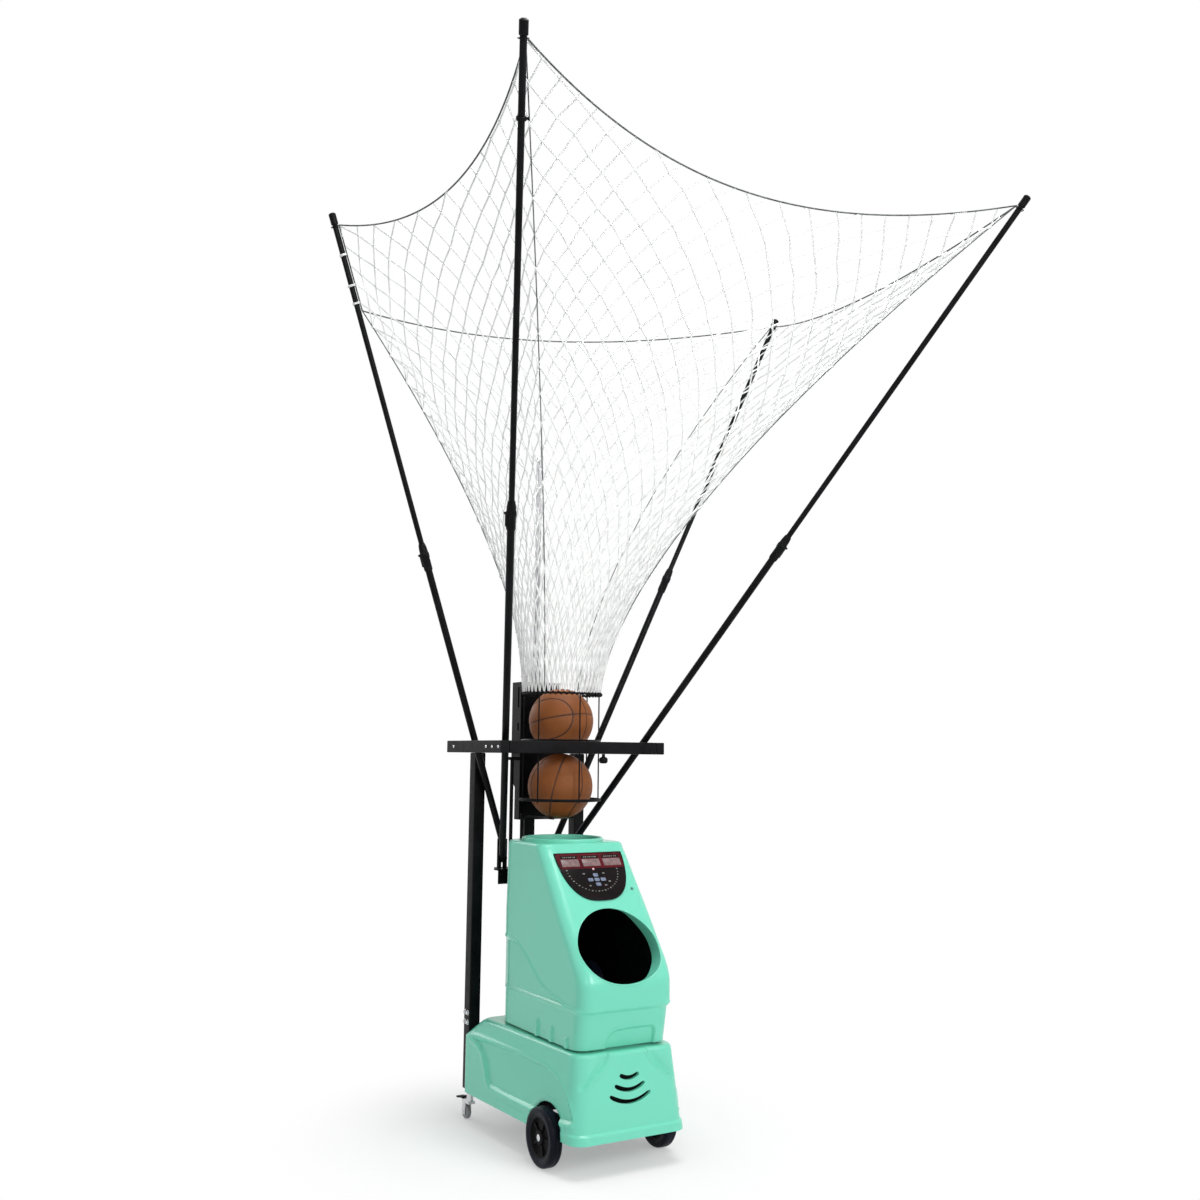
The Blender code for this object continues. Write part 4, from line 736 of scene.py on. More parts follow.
HULL_HEIGHTS = sorted({*np.round(np.linspace(HULL_BOTTOM, HULL_TOP - HULL_EDGE, 150), 5),
                       *np.round(np.linspace(HULL_STEP_HEIGHT - 0.010, HULL_STEP_HEIGHT + 0.012, 10), 5),
                       *np.round(HULL_TOP - HULL_EDGE * (1 - np.sin(np.linspace(0.1, math.pi / 2, 8))), 5)})
print("Hull levels:", len(HULL_HEIGHTS))

# %% [markdown]
# On the real hull the lower side lies a few millimetres below an S-shaped line with a raised bead along it.
# The three ribs stiffen the skirt, and the grip is a hollow for the fingers. Each is drawn once as an outline
# or a few places, and how far a point faces sideways or forwards decides which relief it takes.

# %% Hull relief
S_LINE_TOP = 0.698
S_LINE_FOOT = 0.545
RIBS = ((-0.188, 0.454), (-0.292, 0.450), (-0.397, 0.432))
RIB_HEIGHT = 0.0080
RIB_HALF_WIDTH = (0.006, 0.012)
RIB_FADE = 0.014
GRIP = smooth_line([(-0.074, 0.350), (0.122, 0.350), (0.122, 0.438), (0.116, 0.450), (0.098, 0.455),
                    (-0.026, 0.453), (-0.050, 0.446), (-0.065, 0.430), (-0.072, 0.405)], 1)


def sunk_side_outline():
    """The lower side of the hull, below an S-shaped line that falls from the rear to the front."""
    points = [(0.40, 0.300), (0.40, S_LINE_TOP), (0.060, S_LINE_TOP)]
    for share in np.linspace(0, 1, 12):
        drop = (1 - math.cos(math.pi * share)) / 2
        points.append((blend_to(0.020, -0.300, share), blend_to(S_LINE_TOP - 0.006, S_LINE_FOOT, drop)))
    return points + [(-0.420, HULL_STEP_HEIGHT + 0.004), (-0.80, HULL_STEP_HEIGHT), (-0.80, 0.300)]


def hull_relief(points, outward):
    """How far each point of the hull is pushed out, in metres."""
    x, y, z = points.T
    on_side = ease(np.abs(outward[:, 0]), 0.75, 0.97)
    on_front = ease(-outward[:, 1], 0.80, 0.98)
    depth_in = depth_inside(y, z, smooth_line(sunk_side_outline()))
    above_step = ease(z, HULL_STEP_HEIGHT + 0.002, HULL_STEP_HEIGHT + 0.014)
    side_field = field_relief(depth_in, deep=0.0085, ramp=0.009, border=0.0042, border_width=0.0045)
    push = on_side * above_step * side_field
    for rib_y, top in RIBS:
        rib = (1 - ease(np.abs(y - rib_y), *RIB_HALF_WIDTH)) * (1 - ease(z, top - RIB_FADE, top))
        push += on_side * RIB_HEIGHT * rib
    grip_depth = depth_inside(x, z, GRIP)
    push += on_front * field_relief(grip_depth, deep=0.0085, ramp=0.007, border=0.0025, border_width=0.0045)
    return push


print("The S-line falls", round(S_LINE_TOP - S_LINE_FOOT, 3), "m; ribs on each side:", len(RIBS))

# %% [markdown]
# The mouth is where the ball leaves: an egg, wider below, drawn on the sloping face. The opening runs level
# into the hull. A plate that is drawn on the slope but grows straight to the rear cuts exactly that, and the
# same outline shapes the sleeve round it.

# %% Mouth outline
MOUTH_DROP = 0.380
MOUTH_HALF_WIDTH = 0.158
MOUTH_HALF_HEIGHT = 0.146
MOUTH_EGG = 0.07
MOUTH_SLEEVE = 0.056
MOUTH_FALL = 0.18
MOUTH_STEPS = 72


def on_face(across, down, out):
    """A point on the sloping front face: across it, down the slope from its top, and out of it."""
    y = FACE_TOP.x - down * math.sin(SLOPE) - out * math.cos(SLOPE)
    z = FACE_TOP.y - down * math.cos(SLOPE) + out * math.sin(SLOPE)
    return Vector((across, y, z))


FACE_TURN = Matrix.Rotation(math.radians(90) - SLOPE, 4, "X")
MOUTH_TURN = FACE_TURN.copy()
MOUTH_TURN.col[2] = Vector((0, -1, 0, 0))


def mouth_outline(grow):
    """The ball's way out: an egg, wider below."""
    angles = np.linspace(0, 2 * math.pi, MOUTH_STEPS, endpoint=False)
    return [((MOUTH_HALF_WIDTH + grow) * (1.0 - MOUTH_EGG * math.sin(a)) * math.cos(a),
             (MOUTH_HALF_HEIGHT + grow) * math.sin(a)) for a in angles]


def mouth_plate(grow, thickness):
    """A cutter whose outline lies in the sloping face and whose sides run level."""
    return plate_mesh(mouth_outline(grow), thickness, MOUTH_TURN, on_face(0, MOUTH_DROP, 0))


print("The mouth is", 2 * MOUTH_HALF_WIDTH, "by", 2 * MOUTH_HALF_HEIGHT, "m, measured on the slope")

# %% [markdown]
# The hull is one moulded wall. It is the dense loft less a coarse one, which leaves the wall, less the mouth
# and the hopper's hole. Its inside lies in deep shade, so the mouth reads as a black hole. That shade is
# painted: a second thin shell, a hair inside the mint one, in a dull black.

# %% Hull and its painted inner shade
HOPPER_RADIUS = 0.143
HOPPER_WALL = 0.004
HOPPER_FIT = 0.0006
MOUTH_FIT = 0.0042
# Insets of the dull black shell that paints the shade inside the hull.
SHADE_SHELL_INSETS = (HULL_WALL + 0.0004, HULL_WALL + 0.0015)


def hull_solid(inset, below, relief=None):
    """The hull's form, dense with relief or coarse without, its top lowered by the inset."""
    heights = HULL_HEIGHTS if relief else HULL_HEIGHTS[::4] + HULL_HEIGHTS[-3:]
    heights = [HULL_BOTTOM - below] * bool(below) + sorted(set(heights))
    levels = [(height - inset if height > HULL_TOP - 0.03 else height,
               hull_ring(height, inset, DENSE if relief else COARSE)) for height in heights]
    return moulded_mesh(levels, relief)


def hull_shell(outer, inner, relief=None):
    """The hull between two insets, with the mouth and the hopper hole cut."""
    wide, low, high = HOPPER_RADIUS + HOPPER_WALL + HOPPER_FIT, HULL_TOP - 0.06, HULL_TOP + 0.06
    hole = turned_mesh([(0, low), (wide, low), (wide, high), (0, high)], 64, centre=(0, HOPPER_Y, 0))
    return carved(hull_solid(outer, 0, relief), [hull_solid(inner, 0.05), mouth_plate(MOUTH_FIT, 0.3), hole])


hull = add_piece("launcher_hull", hull_shell(0.0, HULL_WALL, hull_relief), mint_shell, "launcher", ["hull"],
                 30)
even_shading(hull)
# A black shell just inside the mint wall paints the shade in the hull's inside.
shade_shell = add_piece("launcher_painted_shade", hull_shell(*SHADE_SHELL_INSETS), black_plastic, "launcher")
print("Hull faces:", len(hull.data.polygons), "lining faces:", len(shade_shell.data.polygons))

# %% [markdown]
# The sleeve falls a little to the rear, since the wheels throw the ball up and out. Its lip rolls over the
# cut edge of the hull and follows the hull's rounded front. It reaches furthest in at the sides, which gives
# the mint crescent that the photograph shows. A profile swept round the mouth's outline makes all of it.

# %% Mouth sleeve
SLEEVE_START = 0.010
SLEEVE_SHOULDERS = (0.30, 0.95)
LIP_ROLL = [(0.0085, -0.0016), (0.0070, 0.0006), (0.0052, 0.0018), (0.0032, 0.0020), (0.0014, 0.0010),
            (0.0003, -0.0012), (0.0, -0.0040), (0.0, -MOUTH_SLEEVE), (0.0036, -MOUTH_SLEEVE),
            (0.0040, -0.0060)]


def surface_front(across, height):
    """Where the hull's outside is, looking straight in from the front."""
    past = max(0.0, abs(across) - (HULL_HALF_WIDTH - HULL_FRONT_CORNER))
    return hull_front(height) + HULL_FRONT_CORNER - math.sqrt(max(0.0, HULL_FRONT_CORNER ** 2 - past ** 2))


def sleeve_mesh():
    """A level tube to the rear, its front end rolled over the opening in the hull."""
    points, faces = [], []
    for grow, out in LIP_ROLL:
        for x, y in mouth_outline(grow):
            place = on_face(0, MOUTH_DROP, 0) + FACE_TURN.to_3x3() @ Vector((x, y, 0))
            reach = out
            if out == -MOUTH_SLEEVE:
                sideways = ease(abs(x) / MOUTH_HALF_WIDTH, *SLEEVE_SHOULDERS)
                reach = -blend_to(SLEEVE_START, MOUTH_SLEEVE, sideways)
            fall = MOUTH_FALL * min(0.0, reach)
            points.append(Vector((place.x, surface_front(place.x, place.z) - reach, place.z + fall)))
    for ring in range(len(LIP_ROLL)):
        low, high = ring * MOUTH_STEPS, (ring + 1) % len(LIP_ROLL) * MOUTH_STEPS
        faces += [(low + i, low + (i + 1) % MOUTH_STEPS, high + (i + 1) % MOUTH_STEPS, high + i)
                  for i in range(MOUTH_STEPS)]
    shape = bmesh.new()
    shape.from_mesh(mesh_from(points, faces))
    return closed_mesh(shape)


sleeve = add_piece("mouth_sleeve", sleeve_mesh(), mint_shell, "launcher", shading=50)
print("Sleeve faces:", len(sleeve.data.polygons))

# %% [markdown]
# The hopper collar takes the falling balls: a thick rolled lip over a straight drop tube. It is round, so a
# turned profile gives it in one piece, with two arcs for the roll.

# %% Hopper collar
HOPPER_FOOT = 0.860
LIP_INNER_ROLL = 0.0050
LIP_OUTER_ROLL = 0.0040
rest = HULL_TOP + TOUCH
tube_outer = HOPPER_RADIUS + HOPPER_WALL
lip_outer = HOPPER_RADIUS + HOPPER_WALL + 0.005
lip_profile = [(HOPPER_RADIUS, HOPPER_FOOT), (HOPPER_RADIUS, rest + 0.007)]
lip_profile += [(HOPPER_RADIUS + LIP_INNER_ROLL - LIP_INNER_ROLL * math.cos(a),
                 rest + 0.007 + LIP_INNER_ROLL * math.sin(a)) for a in np.linspace(0.3, math.pi / 2, 5)]
lip_profile += [(lip_outer - LIP_OUTER_ROLL + LIP_OUTER_ROLL * math.sin(a),
                 rest + 0.008 + LIP_OUTER_ROLL * math.cos(a)) for a in np.linspace(0.1, math.pi / 2, 5)]
lip_profile += [(lip_outer, rest), (tube_outer, rest), (tube_outer, HOPPER_FOOT)]
add_piece("hopper_lip", turned_mesh(lip_profile, 80, centre=(0, HOPPER_Y, 0)), mint_shell, "launcher",
          ["hopper_collar"])
print("Hopper lip is", round(2 * lip_outer, 3), "m across")

# %% [markdown]
# ### The control panel
#
# The panel is a printed film on the slope: a dark red band with three display windows and their captions,
# then black with a small cross of keys and an arc of marks. Print could be a picture, but each thing on it is
# a thin raised plate instead, so it stays sharp from near. The captions are only rows of dashes. First come
# the finishes, each a plain colour with a faint drift, as of ink and of glass that is not lit.

# %% Panel finishes
panel_black = make_finish("panel_black", (0.004, 0.002, 0.003), 0.30, Specular_IOR_Level=0.10)
tint(panel_black, noise_field(panel_black, 40.0), (0.002, 0.0015, 0.0015), (0.006, 0.002, 0.003))
panel_red = make_finish("panel_red", (0.085, 0.004, 0.009), 0.32, Specular_IOR_Level=0.12)
tint(panel_red, noise_field(panel_red, 22.0), (0.045, 0.002, 0.005), (0.110, 0.005, 0.011))
display_glass = make_finish("display_glass", (0.200, 0.130, 0.130), 0.20, Specular_IOR_Level=0.3)
tint(display_glass, noise_field(display_glass, 60.0), (0.150, 0.105, 0.105), (0.260, 0.160, 0.160))
key_cap = make_finish("key_cap", (0.150, 0.190, 0.290), 0.35)
tint(key_cap, noise_field(key_cap, 90.0), (0.110, 0.140, 0.230), (0.200, 0.240, 0.340))
mark_print = make_finish("mark_print", (0.230, 0.250, 0.220), 0.45)
tint(mark_print, noise_field(mark_print, 80.0), (0.120, 0.130, 0.110), (0.300, 0.310, 0.280))
lamp_lens = make_finish("lamp_lens", (0.750, 0.480, 0.500), 0.15, Coat_Weight=0.5)
print("Panel finishes:", panel_black.name, panel_red.name, display_glass.name)

# %% [markdown]
# Everything on the panel is an outline with a thickness that lies on the slope, so one helper turns them all.
# The panel's own outline has a straight top and a deep round foot, which is half an ellipse with its
# shoulders filled out by a power.

# %% Panel sizes and plates
PANEL_HALF_WIDTH = 0.140
PANEL_DROP = 0.006
PANEL_LENGTH = 0.197
PANEL_THICKNESS = 0.004
PANEL_BAND = 0.066
DISPLAY_SIZE = (0.072, 0.030)
DISPLAY_SPACING = 0.0865
DISPLAY_DROP = 0.049
CAPTION_DROP = 0.025
KEY_SIZE = (0.020, 0.013)
KEY_SPACING = (0.026, 0.019)
KEY_DROP = 0.120
PRINT = 0.0004
FOOT_STEPS = 60
FOOT_FULLNESS = (0.7, 0.95)


def face_plate(outline, thickness, across, down, out):
    """A plate that lies on the sloping face, its back at a distance out of it."""
    return plate_mesh(outline, thickness, FACE_TURN, on_face(across, down, out + thickness / 2))


def rectangle(width, height, corner=0.0, steps=4):
    """A rectangle about the origin, with rounded corners if asked."""
    if not corner:
        return [(x * width / 2, y * height / 2) for x, y in ((-1, -1), (1, -1), (1, 1), (-1, 1))]
    points = []
    for quarter, (x, y) in enumerate(((1, 1), (-1, 1), (-1, -1), (1, -1))):
        for step in range(steps + 1):
            a = math.pi / 2 * (quarter + step / steps)
            points.append((x * (width / 2 - corner) + corner * math.cos(a),
                           y * (height / 2 - corner) + corner * math.sin(a)))
    return points


def panel_outline(inset):
    """A flat top edge and a deep round foot, drawn in by an inset."""
    half, length = PANEL_HALF_WIDTH - inset, PANEL_LENGTH - 2 * inset
    points = []
    for step in range(FOOT_STEPS + 1):
        a = math.pi * step / FOOT_STEPS
        across = half * math.copysign(abs(math.cos(a)) ** FOOT_FULLNESS[0], math.cos(a))
        points.append((across, -inset - length * math.sin(a) ** FOOT_FULLNESS[1]))
    return points


print("The panel is", 2 * PANEL_HALF_WIDTH, "by", PANEL_LENGTH, "m")

# %% [markdown]
# The film is the black base. The red band covers its upper part, and a fine bead round the rim catches the
# light, as the cut edge of a real film does.

# %% Film, band and edge
film = face_plate(panel_outline(0), PANEL_THICKNESS, 0, PANEL_DROP, TOUCH)
add_piece("panel_film", rounded(film, 0.0008, 2), panel_black, "launcher", ["control_panel"])
band = [(x, max(y, -PANEL_BAND)) for x, y in panel_outline(0.004)]
top = TOUCH + PANEL_THICKNESS
add_piece("panel_band", face_plate(band, PRINT, 0, PANEL_DROP, top), panel_red, "launcher")
edge = [on_face(x, PANEL_DROP - y, top) for x, y in panel_outline(0.0012)]
add_piece("panel_edge", bar_mesh([edge], 0.0013, 8, loop=True), panel_black, "launcher")
print("The band covers", round(PANEL_BAND / PANEL_LENGTH * 100), "percent of the panel's length")

# %% [markdown]
# Each display is a small window of tinted plastic in a thin frame, with a caption over it. The windows stand
# for the three solids. The dashes of a caption differ in length, so that each row has its own rhythm.

# %% Displays and captions
CAPTION_SIZE = (0.070, 0.012)
DASHES = 7
FRAME_BORDER = 0.007
frames, captions, dashes = [], [], []
for word, column in (("left", -1), ("middle", 0), ("right", 1)):
    across = column * DISPLAY_SPACING
    glass = face_plate(rectangle(*DISPLAY_SIZE, 0.002), 0.0012, across, DISPLAY_DROP, top + 2 * PRINT)
    add_piece("display_glass_" + word, rounded(glass, 0.0004, 2), display_glass, "launcher",
              ["display_" + word])
    frame_size = (DISPLAY_SIZE[0] + FRAME_BORDER, DISPLAY_SIZE[1] + FRAME_BORDER)
    frames.append(face_plate(rectangle(*frame_size, 0.003), PRINT, across, DISPLAY_DROP, top + PRINT))
    captions.append(face_plate(rectangle(*CAPTION_SIZE, 0.001), PRINT, across, CAPTION_DROP, top + PRINT))
    for dash in range(DASHES):
        width = 0.0045 + 0.002 * math.sin(2.4 * dash + column)
        place = across + (dash - DASHES // 2) * 0.0080
        dashes.append(face_plate(rectangle(width, 0.0035), PRINT, place, CAPTION_DROP, top + 2 * PRINT))
add_piece("display_frames", joined(frames), panel_red, "launcher")
add_piece("caption_strips", joined(captions), panel_black, "launcher")
print("Displays:", len(frames), "caption dashes:", len(dashes))

# %% [markdown]
# Small marks round the keys follow an arc inside the panel's foot, and five short bars label the keys. They
# are one print in one colour, so they are joined with the captions' dashes into one piece.

# %% Marks and print
MARK_ARC = (0.104, 0.090)
MARK_CENTRE = (-0.006, 0.076)
MARKS = 27
for step in range(MARKS):
    a = math.radians(-6 + 192 * step / (MARKS - 1))
    size = 0.0030 + 0.0012 * math.sin(3.1 * step)
    place = (MARK_CENTRE[0] + MARK_ARC[0] * math.cos(a), MARK_CENTRE[1] + MARK_ARC[1] * math.sin(a))
    dashes.append(face_plate(rectangle(size * 1.6, size), PRINT, *place, top))
for across, down in ((-0.046, 0.094), (0.036, 0.094), (-0.034, 0.143), (0.030, 0.143), (0.050, 0.128)):
    dashes.append(face_plate(rectangle(0.009, 0.0045, 0.001), PRINT, across, down, top))
add_piece("panel_print", joined(dashes), mark_print, "launcher")
print("Printed plates:", len(dashes))

# %% [markdown]
# The lamp is a turned lens with a domed top. The five keys ride on bodies of their own and go in by a
# millimetre. On many such panels they are domes under the film. Here each has its own cap with a rounded edge,
# since only a piece of its own can move.

# %% Lamp and keys
LENS = [(0, 0), (0.0042, 0), (0.0042, 0.0008), (0.0032, 0.0018), (0.0017, 0.0024), (0, 0.0026)]
LENS_DROP = 0.076
lens = turned_mesh(LENS, 24)
lens.transform(Matrix.Translation(on_face(0, LENS_DROP, top)) @ FACE_TURN)
add_piece("lamp_lens", lens, lamp_lens, "launcher", ["status_lamp"])
KEY_PLACES = {"up": (0, -1), "down": (0, 1), "left": (-1, 0), "right": (1, 0), "start": (0, 0)}
for word, (column, row) in KEY_PLACES.items():
    place = (column * KEY_SPACING[0], KEY_DROP + row * KEY_SPACING[1])
    key = face_plate(rectangle(*KEY_SIZE, 0.003), 0.0020, *place, top + 0.0004)
    add_piece(word + "_key_cap", rounded(key, 0.0007, 3), key_cap, word + "_key", ["key_" + word])
print("Keys:", len(KEY_PLACES))

# %% [markdown]
# A small plug closes a mould hole beside the panel. It is the same green plastic but darker, and a few points
# turned round are enough for it.

# %% Face plug
PLUG_PLACE = (0.134, 0.161)
plug = turned_mesh([(0, -0.002), (0.006, -0.002), (0.006, 0.0008), (0.0045, 0.0018), (0, 0.0020)], 24)
plug.transform(Matrix.Translation(on_face(*PLUG_PLACE, 0.0004)) @ FACE_TURN)
plug_finish = make_finish("plug_green", (0.040, 0.190, 0.140), 0.4)
tint(plug_finish, noise_field(plug_finish, 90.0), (0.030, 0.160, 0.120), (0.050, 0.220, 0.160))
add_piece("face_plug", plug, plug_finish, "launcher")
print("The plug sits", PLUG_PLACE[1], "m down the face")

# %% [markdown]
# ### The base cover
#
# The cover has a skirt, leaning sides with a sunk field on each, arches over the front wheels, and a raised
# shield on its front that widens towards the floor. Three smile-shaped vents are cut through the shield. It
# is made in the hull's way: a dense loft with relief, less a coarse one, less the cuts.

# %% Cover sizes
COVER_BOTTOM = 0.110
COVER_TOP = 0.385
COVER_FRONT = -0.535
COVER_REAR = 0.270
COVER_WALL = 0.013
COVER_EDGE = 0.012
COVER_SHOULDER = 0.316
SKIRT_TOP = 0.138
SKIRT_STEP = 0.006
WHEEL_RADIUS = 0.097
WHEEL_OUTER_X = 0.251
WHEEL_WIDTH = 0.045
WHEEL_Y = -0.335
ARCH_GAP = 0.014
COLUMN_X = 0.222
COLUMN_Y = 0.265
COVER_FRONT_HALVES = (0.225, 0.200)
COVER_REAR_HALVES = (0.2535, 0.205)
COVER_FRONT_CORNER = 0.055
COVER_REAR_CORNER = 0.030
FRONT_LEAN = 0.030
REAR_LEAN = 0.070


def cover_ring(height, inset, splits):
    """The cover's plan outline at a height: skirt step, leaning walls and rounded top, drawn in by an inset."""
    height = max(height, COVER_BOTTOM)
    skirt = SKIRT_STEP * ease(height, SKIRT_TOP - 0.003, SKIRT_TOP + 0.005)
    lean = between(height, COVER_BOTTOM, COVER_TOP)
    shoulder = between(height, COVER_SHOULDER, COVER_TOP)
    roll = between(height, COVER_TOP - COVER_EDGE, COVER_TOP)
    edge = COVER_EDGE * (1 - math.sqrt(max(0.0, 1 - roll ** 2))) * 0.9 + inset
    front_half = blend_to(*COVER_FRONT_HALVES, lean)
    rear_half = blend_to(*COVER_REAR_HALVES, shoulder)
    front = blend_to(COVER_FRONT, COVER_FRONT + FRONT_LEAN, lean) + skirt
    rear = blend_to(COVER_REAR, COVER_REAR - REAR_LEAN, shoulder)
    side = skirt * 0.5 + edge
    return plan_ring(front + edge, rear - edge, front_half - side, rear_half - edge,
                     COVER_FRONT_CORNER - inset, COVER_REAR_CORNER - inset, splits)


cover_roll = COVER_TOP - COVER_EDGE * (1 - np.sin(np.linspace(0.1, math.pi / 2, 7)))
COVER_HEIGHTS = sorted({*np.round(np.linspace(COVER_BOTTOM, COVER_TOP - COVER_EDGE, 68), 5),
                        *np.round(np.linspace(SKIRT_TOP - 0.004, SKIRT_TOP + 0.006, 6), 5),
                        *np.round(cover_roll, 5)})
print("Cover levels:", len(COVER_HEIGHTS))

# %% [markdown]
# The cover's side field is drawn from the side, and the front wheel's arch is a soft bead round the wheel's
# own axis, so it follows the wheel if that is moved. The shield on the front is left standing while the wall
# beside it sinks, deepest right at the crease, as in the photograph.

# %% Cover relief
SIDE_FIELD = smooth_line([(0.245, 0.322), (0.175, 0.306), (0.135, 0.286), (0.109, 0.259), (0.092, 0.215),
                          (0.076, 0.182), (0.055, 0.166), (-0.200, 0.164), (-0.497, 0.164), (-0.491, 0.195),
                          (-0.468, 0.236), (-0.425, 0.275), (-0.370, 0.303), (-0.300, 0.318), (-0.200, 0.322)])
ARCH_BEAD = 0.0024
CREASE_DEPTH = 0.0095
CREASE_BEAD = 0.0022


def shield_edge(height):
    """Half the width of the raised shield on the front at a height."""
    return 0.072 + 0.125 * between(0.380 - height, 0.0, 0.115) ** 1.6


def cover_relief(points, outward):
    """How far each point of the cover is pushed out, in metres."""
    x, y, z = points.T
    on_side = ease(np.abs(outward[:, 0]), 0.75, 0.97)
    on_front = ease(-outward[:, 1], 0.70, 0.97)
    side_depth = depth_inside(y, z, SIDE_FIELD)
    push = on_side * field_relief(side_depth, deep=0.0095, ramp=0.010, border=0.0035, border_width=0.0060)
    arch = np.hypot(y - WHEEL_Y, z - WHEEL_RADIUS) - WHEEL_RADIUS - ARCH_GAP
    push += on_side * ARCH_BEAD * (1 - ease(np.abs(arch - 0.008), 0.004, 0.011)) * ease(z, 0.12, 0.15)
    beyond = np.abs(x) - shield_edge(z)
    height_share = ease(z, 0.215, 0.265)
    fading = 1 - 0.80 * ease(beyond, 0.010, 0.050)
    push -= on_front * height_share * CREASE_DEPTH * ease(beyond, 0.0, 0.010) * fading
    push += on_front * height_share * CREASE_BEAD * np.exp(-((beyond + 0.004) / 0.004) ** 2)
    return push


shield_widths = [round(2 * float(shield_edge(height)), 3) for height in (0.36, 0.30, 0.24)]
print("The shield is", shield_widths, "m wide, from its top down")

# %% [markdown]
# A vent is a bent slot with round ends, so it is drawn round a curved centre line. It keeps its thickness to
# the ends, which a plain crescent would not.

# %% Vent outline
VENT_THICKNESS = 0.0145
VENT_STEPS = 24


def smile_outline(half_width, depth):
    """A vent slot bent like a smile, as thick at its ends as in the middle, with round ends."""
    shares = np.linspace(-1, 1, VENT_STEPS + 1)
    centre = [Vector((half_width * share, -depth * (1 - share ** 2))) for share in shares]
    upper, lower = [], []
    for i, point in enumerate(centre):
        ahead = (centre[min(i + 1, VENT_STEPS)] - centre[max(i - 1, 0)]).normalized()
        across = Vector((-ahead.y, ahead.x))
        half = VENT_THICKNESS / 2 * math.sqrt(max(0.0, 1 - (abs(i - VENT_STEPS // 2) / 12.4) ** 10))
        upper.append(tuple(point + across * half))
        lower.append(tuple(point - across * half))
    return lower + upper[::-1]


print("A vent has", len(smile_outline(0.05, 0.015)), "points")

# %% [markdown]
# Cuts that go right through stay booleans: the wheels' arches, the columns' slots, the holes for the conduits
# and the switch, and the three vents. They are all taken from the shell in one go.

# %% Cover cuts
COLUMN_HALF = 0.0225
CONDUIT_PLACES = ((-0.118, 0.175), (-0.058, 0.200))
CONDUIT_HOLE = 0.0076
FRONT_VIEW = Matrix(((1, 0, 0), (0, 0, -1), (0, 1, 0))).to_4x4()


def cover_cuts():
    """Solids for everything that is cut through the cover."""
    tools = []
    for side in (-1, 1):
        x = side * (WHEEL_OUTER_X - WHEEL_WIDTH - ARCH_GAP + 0.05)
        wheel = WHEEL_RADIUS + ARCH_GAP
        tools.append(turned_mesh([(0, -0.05), (wheel, -0.05), (wheel, 0.05), (0, 0.05)], 72, WORLD_X,
                                 (x, WHEEL_Y, WHEEL_RADIUS)))
        half, front = COLUMN_HALF + TOUCH, COLUMN_Y - 0.025 - TOUCH
        tools.append(box_mesh((side * COLUMN_X - half, front, 0), (side * COLUMN_X + half, 0.35, 0.5)))
    half = COLUMN_HALF + TOUCH
    tools.append(box_mesh((-half, COLUMN_Y - half, 0), (half, 0.35, 0.5)))
    for count in range(3):
        half_width = 0.037 + 0.021 * count
        smile = smile_outline(half_width, 0.31 * half_width)
        outline = [(x, z + COVER_TOP - 0.074 - 0.031 * count) for x, z in smile]
        tools.append(plate_mesh(outline, 0.08, FRONT_VIEW, (0, COVER_FRONT + 0.02, 0)))
    tools.append(box_mesh((0.0905, 0.24, 0.2255), (0.1095, 0.30, 0.2545)))
    for x, y in CONDUIT_PLACES:
        rod = [(0, 0.3), (CONDUIT_HOLE, 0.3), (CONDUIT_HOLE, 0.5), (0, 0.5)]
        tools.append(turned_mesh(rod, 24, centre=(x, y, 0)))
    return tools


def cover_solid(inset, below, relief=None):
    """The cover's form, dense with relief or coarse without, its top lowered by the inset."""
    heights = COVER_HEIGHTS if relief else COVER_HEIGHTS[::4] + COVER_HEIGHTS[-3:]
    heights = [COVER_BOTTOM - below] * bool(below) + sorted(set(heights))
    levels = [(height - inset if height > COVER_TOP - 0.03 else height,
               cover_ring(height, inset, DENSE if relief else COARSE)) for height in heights]
    return moulded_mesh(levels, relief)


cover_mesh = carved(cover_solid(0.0, 0, cover_relief), [cover_solid(COVER_WALL, 0.05), *cover_cuts()])
cover = add_piece("moulded_cover", cover_mesh, mint_shell, "root", ["base_cover"], 30)
even_shading(cover)
print("Cover faces:", len(cover.data.polygons))

# %% [markdown]
# Behind the vents sits a thin black plate, which paints the shade seen through the slots. Only a strip of
# it shows through each vent, so a thin plate is enough.

# %% Painted shade behind the vents
shade_plate_y = COVER_FRONT + 0.046
shade_plate = box_mesh((-0.115, shade_plate_y - 0.0015, 0.215), (0.115, shade_plate_y, 0.350))
# A black plate behind the vents paints the shade in the slots.
shade_plate = add_piece("vent_painted_shade", rounded(shade_plate, 0.0006, 1), black_plastic, "root")
print("The guard is", [round(value, 3) for value in shade_plate.dimensions], "m")

# %% [markdown]
# ## Wheels and fittings
#
# Each front wheel is a moulded disc with a rubber tyre pressed on. Both are turned, from one profile each,
# and a profile is drawn for one half only and mirrored. Five spokes stand on the disc, and a cap closes it.

# %% Front wheels
HALF_TYRE = [(0.0655, 0.0180), (0.0680, 0.0192), (0.0700, 0.0188), (0.0712, 0.0196), (0.0780, 0.0216),
             (0.0850, 0.0225), (0.0900, 0.0215), (0.0935, 0.0195), (0.0957, 0.0165), (0.0968, 0.0130),
             (0.0970, 0.0090), (0.0958, 0.0084), (0.0958, 0.0072), (0.0970, 0.0066), (0.0970, 0.0010)]
HALF_DISC = [(0.0083, 0.0200), (0.0190, 0.0205), (0.0225, 0.0195), (0.0240, 0.0160), (0.0250, 0.0100),
             (0.0280, 0.0080), (0.0500, 0.0062), (0.0560, 0.0070), (0.0590, 0.0100), (0.0605, 0.0150),
             (0.0620, 0.0178), (0.0652, 0.0180)]
HUB_CAP = [(0, 0.0150), (0.0110, 0.0150), (0.0110, 0.0212), (0.0095, 0.0222), (0, 0.0224)]
WHEEL_CENTRE_X = WHEEL_OUTER_X - WHEEL_WIDTH / 2
SPOKES = 5
FIRST_SPOKE = 0.35


